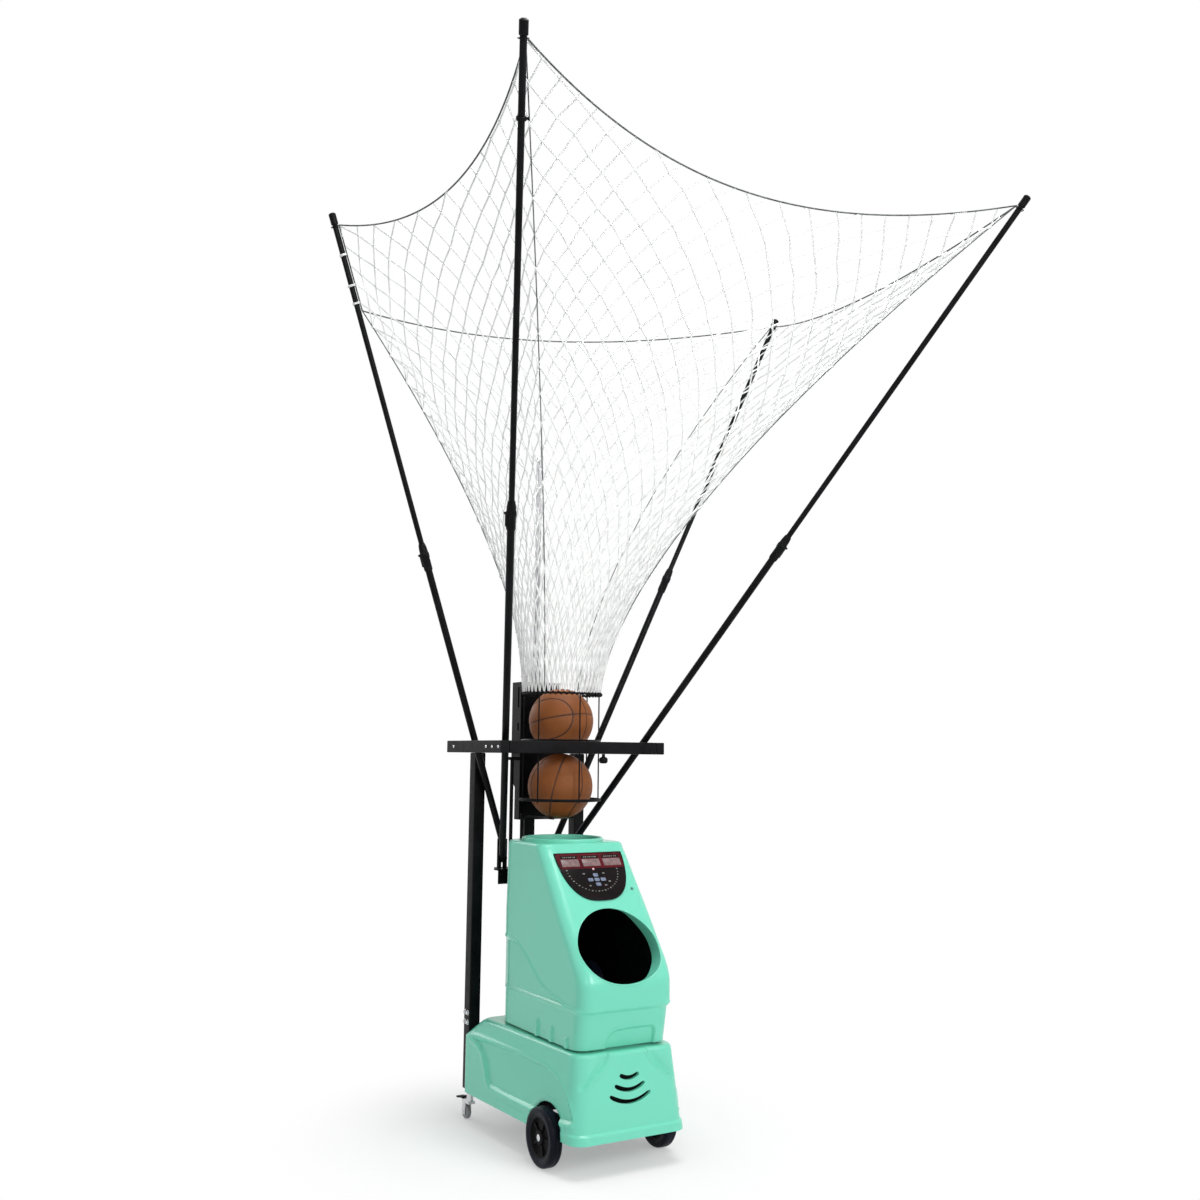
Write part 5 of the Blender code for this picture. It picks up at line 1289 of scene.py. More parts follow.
def mirrored(half):
    """A closed profile from its half on one side."""
    return half + [(radius, -height) for radius, height in reversed(half)]


def wheel_ribs(centre):
    """Flat spokes across the dish of the disc, on both faces."""
    ribs = []
    for count in range(SPOKES):
        turn = Matrix.Rotation(2 * math.pi * count / SPOKES + FIRST_SPOKE, 4, "X")
        rib = box_mesh((-0.0135, -0.0045, 0.0235), (0.0135, 0.0045, 0.0600))
        rib = rounded(rib, 0.0012, 2)
        rib.transform(Matrix.Translation(centre) @ turn)
        ribs.append(rib)
    return ribs


for side, word in ((-1, "left"), (1, "right")):
    centre = (side * WHEEL_CENTRE_X, WHEEL_Y, WHEEL_RADIUS)
    body = word + "_front_wheel"
    tyre = turned_mesh(mirrored(HALF_TYRE), 96, WORLD_X, centre)
    add_piece(word + "_tyre", tyre, tyre_rubber, body, ["front_wheel_" + word], 40)
    disc = joined([turned_mesh(mirrored(HALF_DISC), 72, WORLD_X, centre), *wheel_ribs(centre)])
    add_piece(word + "_wheel_disc", disc, black_plastic, body, shading=40)
    cap = turned_mesh(HUB_CAP, 32, WORLD_X * side, centre)
    add_piece(word + "_hub_cap", cap, bright_steel, body)
print("Tyre points:", 2 * len(HALF_TYRE), "radius", max(radius for radius, height in HALF_TYRE), "m")

# %% [markdown]
# Screws are what shows that the frame is bolted together: round heads on the rails, hexagon heads with
# washers at the feet of the columns. All of one kind are joined, since they never move apart.

# %% Screws and bolts
def screw_mesh(place, normal, radius=0.0055):
    """A round head with a round socket, its profile in shares of its radius."""
    shares = [(0, 0), (1, 0), (1, 0.25), (0.88, 0.55), (0.62, 0.72), (0.48, 0.74), (0.46, 0.30), (0, 0.30)]
    return turned_mesh([(radius * out, radius * up) for out, up in shares], 24, normal, place)


def bolt_mesh(place, normal, radius=0.0075):
    """A hexagon head on a washer."""
    corners = [(radius * math.cos(math.pi * k / 3), radius * math.sin(math.pi * k / 3)) for k in range(6)]
    axis = Vector(normal)
    head = plate_mesh(corners, radius * 0.7, turn_to(axis), Vector(place) + axis * (0.0012 + radius * 0.35))
    wide = radius * 1.25
    washer = [(0, 0), (wide, 0), (wide, 0.0010), (radius * 1.2, 0.0013), (0, 0.0013)]
    return joined([rounded(head, 0.0006, 2), turned_mesh(washer, 28, axis, place)])


RAIL_SIDE_X = 0.347
RAIL_MIDDLE = 1.3725 + 0.0225
RAIL_SCREWS_Y = (-0.171, -0.120, -0.070, 0.215)
rail_screws = [screw_mesh((side * RAIL_SIDE_X, y, RAIL_MIDDLE), (side, 0, 0))
               for side in (-1, 1) for y in RAIL_SCREWS_Y]
add_piece("rail_screws", joined(rail_screws), bright_steel, "root")
column_bolts = [bolt_mesh((side * (COLUMN_X + COLUMN_HALF), COLUMN_Y + shift, height), (side, 0, 0))
                for side in (-1, 1) for height in (0.360, 0.395) for shift in (-0.012, 0.012)]
column_bolts += [bolt_mesh((side * COLUMN_X, COLUMN_Y + 0.025, height), (0, 1, 0))
                 for side in (-1, 1) for height in (0.250, 0.330)]
add_piece("column_bolts", joined(column_bolts), bright_steel, "root")
print("Screws and bolts:", len(rail_screws) + len(column_bolts))

# %% [markdown]
# The cage's top hoop is whipped with black cord, which also ties the net on. A spiral round the hoop makes it.
# The lower hoop is wrapped in smooth tape, which is the same hoop again, a little thicker.

# %% Hoop lashing and tape
HOOP_HEIGHT = 1.597
LOWER_HOOP_HEIGHT = 1.200
HOOP_RADIUS = 0.150
LASHING_TURNS = 46
LASHING_RADIUS = 0.0019
LASHING_REACH = 0.0057
TAPE_RADIUS = 0.0056


def spiral_round_hoop(radius, height, reach, turns, steps=10):
    """A cord wound round a hoop that lies level."""
    path = []
    for step in range(turns * steps):
        along = 2 * math.pi * step / (turns * steps)
        around = 2 * math.pi * step / steps
        wide = radius + reach * math.cos(around)
        path.append((wide * math.cos(along), wide * math.sin(along), height + reach * math.sin(around)))
    return path


def hoop_tape(height, radius):
    """A hoop of tape that lies level."""
    angles = np.linspace(0, 2 * math.pi, 96, endpoint=False)
    path = [(HOOP_RADIUS * math.cos(a), HOOP_RADIUS * math.sin(a), height) for a in angles]
    return bar_mesh([path], radius, 10, loop=True)


tape = hoop_tape(LOWER_HOOP_HEIGHT, TAPE_RADIUS)
add_piece("lower_hoop_tape", tape, black_plastic, "root", shading=60)
spiral = spiral_round_hoop(HOOP_RADIUS, HOOP_HEIGHT, LASHING_REACH, LASHING_TURNS)
lashing = bar_mesh([spiral], LASHING_RADIUS, 5, loop=True)
add_piece("hoop_lashing", lashing, black_plastic, "root", shading=70)
spiral_ends = zip(spiral, spiral[1:] + spiral[:1])
print("Lashing cord:", round(sum(math.dist(here, there) for here, there in spiral_ends), 2), "m")

# %% [markdown]
# ## Balls
#
# A basketball is covered in orange-brown composite leather with black seams. Its pebbles are only 2 mm wide,
# so they are bump: a cell pattern turned over, which gives small domes with creases between. The black of the
# seams follows a value that is kept on the ball's points, so it lies exactly in the grooves.

# %% Ball leather
ball_leather = make_finish("ball_leather", (0.200, 0.066, 0.018), 0.52, Specular_IOR_Level=0.22)
leather_field = noise_field(ball_leather, 14.0)
leather_ramp = add_node(ball_leather, "ShaderNodeValToRGB")
leather_ramp.color_ramp.elements[0].color = (0.165, 0.049, 0.010, 1.0)
leather_ramp.color_ramp.elements[1].color = (0.240, 0.076, 0.018, 1.0)
seam_value = add_node(ball_leather, "ShaderNodeAttribute", attribute_name="seam")
seam_mix = add_node(ball_leather, "ShaderNodeMix", data_type="RGBA")
link(ball_leather, leather_field, leather_ramp.inputs["Fac"])
link(ball_leather, leather_ramp.outputs["Color"], seam_mix.inputs[6])
link(ball_leather, seam_value.outputs["Fac"], seam_mix.inputs["Factor"])
seam_mix.inputs[7].default_value = (0.012, 0.010, 0.010, 1.0)
link(ball_leather, seam_mix.outputs[2], shader_of(ball_leather).inputs["Base Color"])
pebbles = add_node(ball_leather, "ShaderNodeTexVoronoi", inputs={"Scale": 420.0})
pebble_place = add_node(ball_leather, "ShaderNodeTexCoord")
link(ball_leather, pebble_place.outputs["Object"], pebbles.inputs["Vector"])
pebble_turn = add_node(ball_leather, "ShaderNodeMath", operation="MULTIPLY", inputs={1: -1.0})
link(ball_leather, pebbles.outputs["Distance"], pebble_turn.inputs[0])
emboss(ball_leather, pebble_turn.outputs["Value"], 0.0004)
print("Finish:", ball_leather.name, "with", len(ball_leather.node_tree.nodes), "nodes")

# %% [markdown]
# The ball's eight panels are divided by two full circles at right angles and a closed curve round each cheek.
# The seams are real grooves, so a fine sphere is pressed in along them. It is a cube blown up to a sphere,
# because its faces are all about the same size, while a globe's crowd together at its poles.

# %% Sphere and seams
BALL_RADIUS = 0.123
BALL_HEIGHTS = {"lower": 1.25, "upper": 1.25 + 2 * BALL_RADIUS + TOUCH}
BALL_SPLITS = 72
SEAM_HALF_WIDTH = 0.0034
SEAM_DEPTH = 0.0016
SEAM_SWAY = (0.86, 0.20)


def cube_sphere(splits):
    """Unit directions and faces of a cube whose grid is blown up to a sphere."""
    shape = bmesh.new()
    bmesh.ops.create_cube(shape, size=2.0)
    bmesh.ops.subdivide_edges(shape, edges=shape.edges, cuts=splits - 1, use_grid_fill=True)
    mesh = closed_mesh(shape)
    points = np.array([vertex.co for vertex in mesh.vertices])
    even = np.tan(points * math.pi / 4)
    return mesh, even / np.linalg.norm(even, axis=1)[:, None]


def seam_share(direction):
    """How deep each direction lies in a seam, from 0 to 1; the cheek's curve sways as it goes round."""
    x, y, z = direction.T
    cheek = np.arccos(np.clip(np.abs(x), 0, 1))
    around = np.arctan2(z, y)
    cheek_line = SEAM_SWAY[0] + SEAM_SWAY[1] * np.cos(2 * around)
    seams = [np.abs(np.arcsin(x)), np.abs(np.arcsin(z)), np.abs(cheek - cheek_line) * 0.93]
    distance = np.minimum.reduce(seams)
    share = np.clip(1 - distance * BALL_RADIUS / SEAM_HALF_WIDTH, 0, 1)
    return share * share * (3 - 2 * share)


trial = SEAM_DEPTH * 1000 * seam_share(np.array([(0.0, 1.0, 0.0), (0.6, 0.8, 0.0), (0.6, 0.5, 0.6)]))
print("Seam depth at a crossing, on a circle and on a panel:", [round(float(depth), 2) for depth in trial], "mm")

# %% [markdown]
# Two balls are loaded, one on the other, and ride on a body of their own so that they can be lifted out. Each
# is turned by a few degrees that were read from its seams in the photograph.

# %% Balls
def make_ball(word, turn):
    """A ball with pressed seams, turned so that they lie as in the photograph."""
    mesh, direction = cube_sphere(BALL_SPLITS)
    share = seam_share(direction)
    points = direction * (BALL_RADIUS - 0.0001 - share * SEAM_DEPTH)[:, None]
    mesh.vertices.foreach_set("co", points.astype(np.float32).ravel())
    attribute = mesh.attributes.new("seam", "FLOAT", "POINT")
    attribute.data.foreach_set("value", np.clip(share * 2.2, 0, 1).astype(np.float32))
    mesh.transform(Matrix.Translation((0, 0, BALL_HEIGHTS[word])) @ turn.to_4x4())
    return add_piece("basketball_" + word, mesh, ball_leather, "loaded_balls", ["ball_" + word], 180)


TO_CAMERA = Matrix(((math.cos(CAMERA_YAW), 0, -math.sin(CAMERA_YAW)),
                    (-math.sin(CAMERA_YAW), 0, -math.cos(CAMERA_YAW)), (0, 1, 0)))
LOWER_TURN = (TO_CAMERA @ Matrix.Rotation(math.radians(-14), 3, "Z")
              @ Matrix.Rotation(math.radians(-9), 3, "Y"))
UPPER_TURN = Matrix.Rotation(math.radians(22), 3, "Z") @ Matrix.Rotation(math.radians(-12), 3, "X")
make_ball("lower", LOWER_TURN)
make_ball("upper", UPPER_TURN)
print("Each ball has", 6 * BALL_SPLITS ** 2, "faces")

# %% [markdown]
# ## The net
#
# The net is a funnel: a rim rope hung between four pole tops, and a throat tied round the cage's top hoop.
# It could be one sheet with a printed lattice, but the gaps must be real, so every cord is a thin bar between
# knots. The net is made in narrow strips, each with its own line towards the throat; the poles fold and slide
# in, but the strips are not drawn in with them here. It all starts from the poles: their pins come from the
# joints, and their tops were read from the photograph.

# %% Poles' pins and tops
POLE_TOPS = {"front": Vector((-0.955, -1.473, 3.255)), "rear": Vector((-1.000, -0.078, 3.260))}
UPPER_POLE_RADIUS = 0.010
NET_CLEARANCE = 0.004
NET_MIDDLE_Y = -0.5


def pole_pivot(place, side):
    """Where a pole is pinned, about the launcher's axis; side is -1 on the left."""
    word = "left" if side < 0 else "right"
    return Vector(JOINTS[f"{place}_{word}_pole_fold"]["pos_m"]) - MACHINE_SHIFT.translation


def pole_top(place, side):
    """A pole's top; the list holds the left ones, and the right ones mirror them."""
    top = POLE_TOPS[place]
    return Vector((-side * top.x, top.y, top.z))


def pole_axis(place, side):
    """A pole's pin and top, and the direction from one to the other."""
    pivot, top = pole_pivot(place, side), pole_top(place, side)
    return pivot, top, (top - pivot).normalized()


def pole_side_point(place, side, drop):
    """A point beside a pole, on the net's side, a distance below its top."""
    _, top, along = pole_axis(place, side)
    on_axis = top - along * drop
    inward = Vector((0, NET_MIDDLE_Y, on_axis.z)) - on_axis
    inward -= along * inward.dot(along)
    return on_axis + inward.normalized() * (UPPER_POLE_RADIUS + NET_CLEARANCE)


for place in ("front", "rear"):
    length = (pole_top(place, -1) - pole_pivot(place, -1)).length
    print(place, "poles are", round(length, 3), "m long")

# %% [markdown]
# When the poles fold, each top moves along a path that the joints give. The net's strips need where each
# corner ends up, so the folded place is worked out with the same turn and slide.

# %% Where the pole tops go when folded
FOLD_ANGLE = math.radians(JOINTS["front_left_pole_fold"]["range_deg"][1])
COUPLED = {row["joint"]: row["ratio"] for row in frame["record"]["behaviour"]["couplings"]}


def folded(point, place, side):
    """A point on an upper pole after the poles have slid in and folded up."""
    word = "left" if side < 0 else "right"
    name = f"{place}_{word}_pole"
    fold = JOINTS[name + "_fold"]
    turn = FOLD_ANGLE * COUPLED.get(name + "_fold", 1.0)
    slide = Vector(JOINTS[name + "_slide"]["axis"]) * FOLD_ANGLE * COUPLED[name + "_slide"]
    pivot = pole_pivot(place, side)
    return pivot + Matrix.Rotation(turn, 3, Vector(fold["axis"])) @ (point + slide - pivot)


for place in ("front", "rear"):
    print(place, "top folds to", [round(value, 2) for value in folded(pole_top(place, -1), place, -1)])

# %% [markdown]
# The rim is a rope between the corners that hangs in and down. Each side is a straight line with a sag on it,
# as a parabola, which is close to how a slack rope hangs. The rear edge is laced down the left pole first, as
# in the photograph, and then crosses to the other side.

# %% Rim and throat of the net
THROAT_HEIGHT = 1.6052
THROAT_START = math.radians(-144)
NET_COLUMNS = 48
HALF_COLUMNS = 2 * NET_COLUMNS
FRONT_SAG = Vector((0, 0.223, -0.110))
SIDE_SAG = Vector((0.100, 0, -0.125))
REAR_SAG = Vector((0, 0.200, -0.032))
CORNER_DROP = 0.045
LACED_DROP = 0.350
FOLDED_DROP = 0.090
FOLDED_INSET = 0.055
FOLDED_SAG = 0.25
print("The front edge hangs", round(-FRONT_SAG.z, 3), "m down and", round(FRONT_SAG.y, 3), "m in")

# %% [markdown]
# Every point of the net is named by a column, so the rim and the throat are both functions of it. A whole turn
# has as many columns as the net, and half columns lie between. The same rim can be asked for when folded.

# %% Points on the rim and the throat
def rim_sides():
    """Each side of the rim, as (start, end, sag, columns), with the poles that its ends hang on."""
    def corner(place, side, drop):
        return pole_side_point(place, side, drop), (place, side)
    side_sag = Vector((-SIDE_SAG.x, SIDE_SAG.y, SIDE_SAG.z))
    front_left, front_right = corner("front", -1, CORNER_DROP), corner("front", 1, CORNER_DROP)
    rear_right, rear_left = corner("rear", 1, CORNER_DROP), corner("rear", -1, LACED_DROP)
    rear_left_top = corner("rear", -1, CORNER_DROP)
    return [(front_left, front_right, FRONT_SAG, 14), (front_right, rear_right, side_sag, 10),
            (rear_right, rear_left, REAR_SAG, 12), (rear_left, rear_left_top, Vector(), 2),
            (rear_left_top, front_left, SIDE_SAG, 10)]


def folded_corner(place, side):
    """Where the net's corner hangs when the poles are in: close to the pole's top, a little inwards."""
    point = folded(pole_side_point(place, side, FOLDED_DROP), place, side)
    return point - Vector((point.x, point.y, 0)).normalized() * FOLDED_INSET


def rim_point(step, fold=False):
    """A point on the rim; step runs from 0 to NET_COLUMNS. With fold, where it is when the poles are in."""
    step = step % NET_COLUMNS
    for (start, start_pole), (end, end_pole), sag, columns in rim_sides():
        if step <= columns:
            break
        step -= columns
    share = step / columns
    if fold:
        start, end = folded_corner(*start_pole), folded_corner(*end_pole)
        sag = sag * FOLDED_SAG
    return start.lerp(end, share) + sag * 4 * share * (1 - share)


def throat_point(step):
    """A point on the throat, round the cage's top hoop."""
    angle = THROAT_START + 2 * math.pi * step / NET_COLUMNS
    return Vector((HOOP_RADIUS * math.cos(angle), HOOP_RADIUS * math.sin(angle), THROAT_HEIGHT))


rim_length = sum((rim_point(i + 1) - rim_point(i)).length for i in range(NET_COLUMNS))
print("Rim rope:", round(rim_length, 2), "m")

# %% [markdown]
# Between throat and rim the net flares: it stays narrow near the cage and opens higher up. Each meridian is
# measured along its length, and rows of knots are a fixed distance apart on it. So the diamonds keep their
# size up the net and the rim cuts through them, as it does on a real one cut from a sheet of netting.

# %% Meridians
MERIDIAN_STEPS = 40
FLARE = (1.75, 0.25)
ROW_HEIGHT = 0.058


def meridian(step):
    """A line up the net from throat to rim, as points and their distances along it."""
    low, high = throat_point(step), rim_point(step)
    side = abs(math.sin(math.pi * step / NET_COLUMNS))
    rise = np.linspace(0, 1, MERIDIAN_STEPS + 1)
    share = rise ** (FLARE[0] - FLARE[1] * side)
    points = np.stack([low.x + (high.x - low.x) * share, low.y + (high.y - low.y) * share,
                       low.z + (high.z - low.z) * rise], axis=1)
    runs = np.linalg.norm(np.diff(points, axis=0), axis=1)
    return points, np.concatenate([[0.0], np.cumsum(runs)])


MERIDIANS = [meridian(half / 2) for half in range(HALF_COLUMNS)]
LENGTHS = [distances[-1] for points, distances in MERIDIANS]
ROWS = int(max(LENGTHS) / ROW_HEIGHT) + 2
print("Meridians from", round(min(LENGTHS), 2), "to", round(max(LENGTHS), 2), "m, rows:", ROWS)

# %% [markdown]
# Cords run from each knot to the row above, half a column to either side, and stop where they meet the rim.
# A little jitter keeps them from looking ruled. It is drawn once for each knot, from a fixed seed, and fades
# out towards the throat, where the cords are pulled straight.

# %% Knots and cords
JITTER = 0.0045
CALM_ROWS = 9
SHORTEST_CORD = 0.002
random.seed(7)
WOBBLE = {(row, half): Vector([random.uniform(-JITTER, JITTER) for axis in range(3)])
          for row in range(ROWS + 1) for half in range(HALF_COLUMNS)}


def net_knot(row, half):
    """The knot in a row on a half-column, or where the line would go past the rim."""
    points, distances = MERIDIANS[half % HALF_COLUMNS]
    distance = row * ROW_HEIGHT
    place = Vector([float(np.interp(distance, distances, points[:, axis])) for axis in range(3)])
    return place + WOBBLE[row, half % HALF_COLUMNS] * min(1.0, row / CALM_ROWS)


def past_rim(row, half):
    """How far past the rim a row would be on a half-column; negative below it."""
    return row * ROW_HEIGHT - LENGTHS[half % HALF_COLUMNS]


def net_cord_ends(row, half, turn):
    """A cord from a knot to the next row, half a column on or back, cut off at the rim."""
    low, high = past_rim(row, half), past_rim(row + 1, half + turn)
    if low >= 0 and high >= 0:
        return None
    start, end = net_knot(row, half), net_knot(row + 1, half + turn)
    if low < 0 < high or high < 0 < low:
        share = low / (low - high)
        on_rim = rim_point((half + turn * share) / 2)
        start, end = (start, on_rim) if low < 0 else (on_rim, end)
    return start, end


def strip_cords(half):
    """The cords that start on one half-column, as pairs of points, and its knots."""
    pairs, knots = [], []
    for row in range(half % 2, ROWS, 2):
        ends = [net_cord_ends(row, half, turn) for turn in (-1, 1)]
        pairs += [pair for pair in ends if pair and (pair[1] - pair[0]).length > SHORTEST_CORD]
        if row and past_rim(row, half) < -0.01:
            knots.append(net_knot(row, half))
    return pairs, knots


print("Cords in strip 0:", len(strip_cords(0)[0]))

# %% [markdown]
# The cord is white braided nylon, rough, with its colour painted a little grey for the shade that thin cords
# show. The rope is dark and rougher still. Both get a faint sheen, which is the fuzz of their fibres, and a
# fine bump for the braid.

# %% Net cord and rope finishes
net_cord = make_finish("net_cord", (0.86, 0.86, 0.86), 0.7, Sheen_Weight=0.3)
# The grey of this tint is painted shade on white cord.
tint(net_cord, noise_field(net_cord, 30.0), (0.66, 0.67, 0.67), (0.82, 0.83, 0.83))
emboss(net_cord, noise_field(net_cord, 1500.0, 1.0), 0.0003)
black_rope = make_finish("black_rope", (0.02, 0.02, 0.02), 0.8, Sheen_Weight=0.2)
tint(black_rope, noise_field(black_rope, 60.0), (0.030, 0.034, 0.033), (0.090, 0.100, 0.098))
emboss(black_rope, noise_field(black_rope, 900.0, 1.0), 0.0004)
print("Finishes:", net_cord.name, black_rope.name)

# %% [markdown]
# When the poles fold, a strip can't follow them point by point. Each strip gets a line, from its place on the
# rim to where that place ends up, about its foot on the throat, and the share of its reach that would be kept.
# Nothing squashes the strips along that line here, so they keep their open shape.

# %% Lines along which the net would gather
LEAST_REACH = 0.05


def pull_line(column):
    """How the net draws in as the poles fold: the line, the fixed point and what is left of its reach."""
    start, end = rim_point(column), rim_point(column, fold=True)
    anchor = throat_point(column)
    travel = start - end
    line = travel.normalized()
    reach = (start - anchor).dot(line)
    return line, anchor, max(LEAST_REACH, 1 - travel.length / reach)


def gather(obj, column):
    """Give a piece of the net a mesh of its own; its pull line is worked out but not used."""
    line, anchor, keep = pull_line(column)
    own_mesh(obj)


print("Reach that is kept:", [round(pull_line(column)[2], 2) for column in (0, 12, 24, 36)])

# %% [markdown]
# Each strip is one half-column of the net: its cords, its knots, and its stretch of the thin black rope that
# is threaded through the top diamonds. One mesh in two finishes keeps rope and cords together. Wide strips
# would tear apart where they meet, so there are two to a column.

# %% Net strips
CORD_RADIUS = 0.0026
KNOT_RADIUS = 0.0046
KNOT_STRETCH = 1.3
ROPE_RADIUS = 0.0027
ROPE_STEPS = 4


def knot_mesh(places):
    """A small bead at each place, a little higher than it is wide."""
    shape = bmesh.new()
    for place in places:
        matrix = Matrix.Translation(place) @ Matrix.Diagonal((1.0, 1.0, KNOT_STRETCH, 1.0))
        bmesh.ops.create_icosphere(shape, subdivisions=1, radius=KNOT_RADIUS, matrix=matrix)
    return closed_mesh(shape)


def rope_mesh(half):
    """The stretch of rim rope that goes with one half-column."""
    path = [rim_point((half - 0.5 + i / ROPE_STEPS) / 2) for i in range(ROPE_STEPS + 1)]
    return bar_mesh([path], ROPE_RADIUS, 8)


def net_strip(half):
    """Cords, knots and rim rope of one half-column, in two finishes."""
    pairs, knots = strip_cords(half)
    rope = rope_mesh(half)
    mesh = joined([bar_mesh(pairs, CORD_RADIUS, 5), knot_mesh(knots), rope])
    piece = add_piece(f"net_strip_{half:02d}", mesh, net_cord, "root", shading=60)
    piece.data.materials.append(black_rope)
    for face in piece.data.polygons[len(piece.data.polygons) - len(rope.polygons):]:
        face.material_index = 1
    gather(piece, half / 2)
    return piece


net_strips = [net_strip(half) for half in range(HALF_COLUMNS)]
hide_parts("ball_net")
print("Net strips:", len(net_strips), "with", sum(len(piece.data.polygons) for piece in net_strips), "faces")

# %% [markdown]
# Thinner ropes run down the net's corners to the throat and keep the load off the cords. They lie on the
# meridians of the corners, so they follow the net's flare.

# %% Corner ropes
CORNER_ROPE_RADIUS = 0.0020
CORNER_COLUMNS = (0, 14, 24, 36)
for column in CORNER_COLUMNS:
    points, _ = meridian(column)
    rope = bar_mesh([[Vector(point) for point in points]], CORNER_ROPE_RADIUS, 6)
    piece = add_piece(f"corner_rope_{column:02d}", rope, black_rope, "root", shading=60)
    gather(piece, column)
print("Corner ropes:", len(CORNER_COLUMNS))

# %% [markdown]
# The front left pole has a stop with a small screw knob on it, lower down. It is turned twice: once round the
# pole, and once across it.

# %% Stop on the front left pole
STOP_DROP = 0.246
STOP = [(0.0102, -0.006), (0.0135, -0.006), (0.0145, -0.004), (0.0145, 0.004), (0.0135, 0.006), (0.0102, 0.006)]
STOP_KNOB = [(0, 0.010), (0.0035, 0.010), (0.0035, 0.017), (0.0055, 0.018), (0.0055, 0.021), (0, 0.022)]
_, top, along = pole_axis("front", -1)
stop = turned_mesh(STOP, 28, along, top - along * STOP_DROP)
knob = turned_mesh(STOP_KNOB, 20, -along.cross(WORLD_Z).normalized(), top - along * STOP_DROP)
add_piece("front_left_stop", joined([stop, knob]), black_plastic, "front_left_top")
print("The stop sits", STOP_DROP, "m below the pole's top")

# %% [markdown]
# At each pole top a wire ring takes the net's corner. A ring is a bar that closes on itself, and a tie is the
# same bar wound round twice, so one helper serves for both.

# %% Rings at the pole tops
RING_DROP = 0.050
POLES = (("front", -1, "left"), ("front", 1, "right"), ("rear", -1, "left"), ("rear", 1, "right"))


def ring_on_pole(place, side, drop, wide, wire, turns=1):
    """A ring round an upper pole, at a distance below its top."""
    _, top, along = pole_axis(place, side)
    angles = np.linspace(0, 2 * math.pi * turns, 24 * turns, endpoint=False)
    path = [(wide * math.cos(a), wide * math.sin(a), wire * 2.1 * a / (2 * math.pi)) for a in angles]
    mesh = bar_mesh([path], wire, 8, loop=turns == 1)
    mesh.transform(Matrix.Translation(top - along * drop) @ turn_to(along))
    return mesh


for place, side, word in POLES:
    ring = ring_on_pole(place, side, RING_DROP, 0.0148, 0.0016)
    add_piece(f"{place}_{word}_ring", ring, black_steel, f"{place}_{word}_top")
print("Rings:", len(POLES))

# %% [markdown]
# The rear left pole has three white ties where the net is laced to it. They ride with the upper pole.

# %% Ties on the rear left pole
TIE_DROPS = (0.153, 0.262, 0.325)
ties = joined([ring_on_pole("rear", -1, drop, 0.0122, 0.0019, 2) for drop in TIE_DROPS])
ties = add_piece("net_ties", ties, net_cord, "rear_left_top", shading=60)
_, top, along = pole_axis("rear", -1)
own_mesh(ties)
print("Ties:", len(TIE_DROPS))

# %% [markdown]
# Each telescoping joint has a clamp collar with a cam lever on its outer side. The collar is one turned sleeve
# that fits the thick pole below and guides the thin one above. The lever is a rounded box on a turned hinge.

# %% Clamp collars
COLLAR_SHARES = {"front": 0.51, "rear": 0.48}
LOWER_POLE_RADIUS = 0.013
CLAMP_BELOW, CLAMP_ABOVE = 0.060, 0.044
HINGE = [(0, -0.0085), (0.0042, -0.0085), (0.0042, 0.0085), (0, 0.0085)]


def clamp_mesh(place, side):
    """A pole's clamp: sleeve, lever and hinge."""
    pivot, top, along = pole_axis(place, side)
    joint = (top - pivot).length * COLLAR_SHARES[place]
    fit, guide = LOWER_POLE_RADIUS + TOUCH, UPPER_POLE_RADIUS + TOUCH
    low, high = joint - CLAMP_BELOW, joint + CLAMP_ABOVE
    profile = [(fit, low), (fit + 0.0012, low), (0.0160, low + 0.006), (0.0160, joint - 0.012),
               (0.0176, joint - 0.009), (0.0176, joint + 0.006), (0.0158, joint + 0.010),
               (0.0150, joint + 0.026), (0.0128, high - 0.003), (0.0112, high), (guide, high),
               (guide, joint + TOUCH), (fit, joint + TOUCH)]
    sleeve = turned_mesh(profile, 32, along, pivot)
    outer = Vector((0, NET_MIDDLE_Y, 2.0)) - pivot
    outer = -(outer - along * outer.dot(along)).normalized()
    across = along.cross(outer)
    turn = Matrix((across, outer, along)).transposed().to_4x4()
    lever = rounded(box_mesh((-0.0060, 0.0150, -0.044), (0.0060, 0.0205, 0.006)), 0.0022, 3)
    hinge = turned_mesh(HINGE, 20, WORLD_X, (0, 0.0190, 0.002))
    fittings = joined([lever, hinge])
    fittings.transform(Matrix.Translation(pivot + along * joint) @ turn)
    return joined([sleeve, fittings])


for place, side, word in POLES:
    add_piece(f"{place}_{word}_clamp", clamp_mesh(place, side), black_plastic, f"{place}_{word}_pole",
              [f"collar_{place}_{word}"])
print("Clamps:", len(POLES), "each", round(CLAMP_BELOW + CLAMP_ABOVE, 3), "m long")

# %% [markdown]
# ## Floor and light
#
# The photograph has a white ground that is plain white far from the machine and keeps a soft shadow near it.
# A lit floor alone would be grey. So what is seen, directly or in a reflection, is told from light that only
# bounces, and far out the seen floor turns into a white glow. The bounced light stays as the lamps make it.

# %% Telling sight from bounced light
def sight_rays(owner):
    """1 for what the camera sees, directly, in a reflection or through glass; 0 for light that bounces."""
    path = add_node(owner, "ShaderNodeLightPath")
    value = path.outputs["Is Camera Ray"]
    for name in ("Is Glossy Ray", "Is Transmission Ray"):
        either = add_node(owner, "ShaderNodeMath", operation="MAXIMUM")
        link(owner, value, either.inputs[0])
        link(owner, path.outputs[name], either.inputs[1])
        value = either.outputs["Value"]
    return value


print("Rays that count as sight: camera, glossy, transmission")

# %% [markdown]
# The floor is one large disc under the wheels. Its glow starts weak right under the machine, so that the
# contact shadows stay, and is full a little more than a metre out.

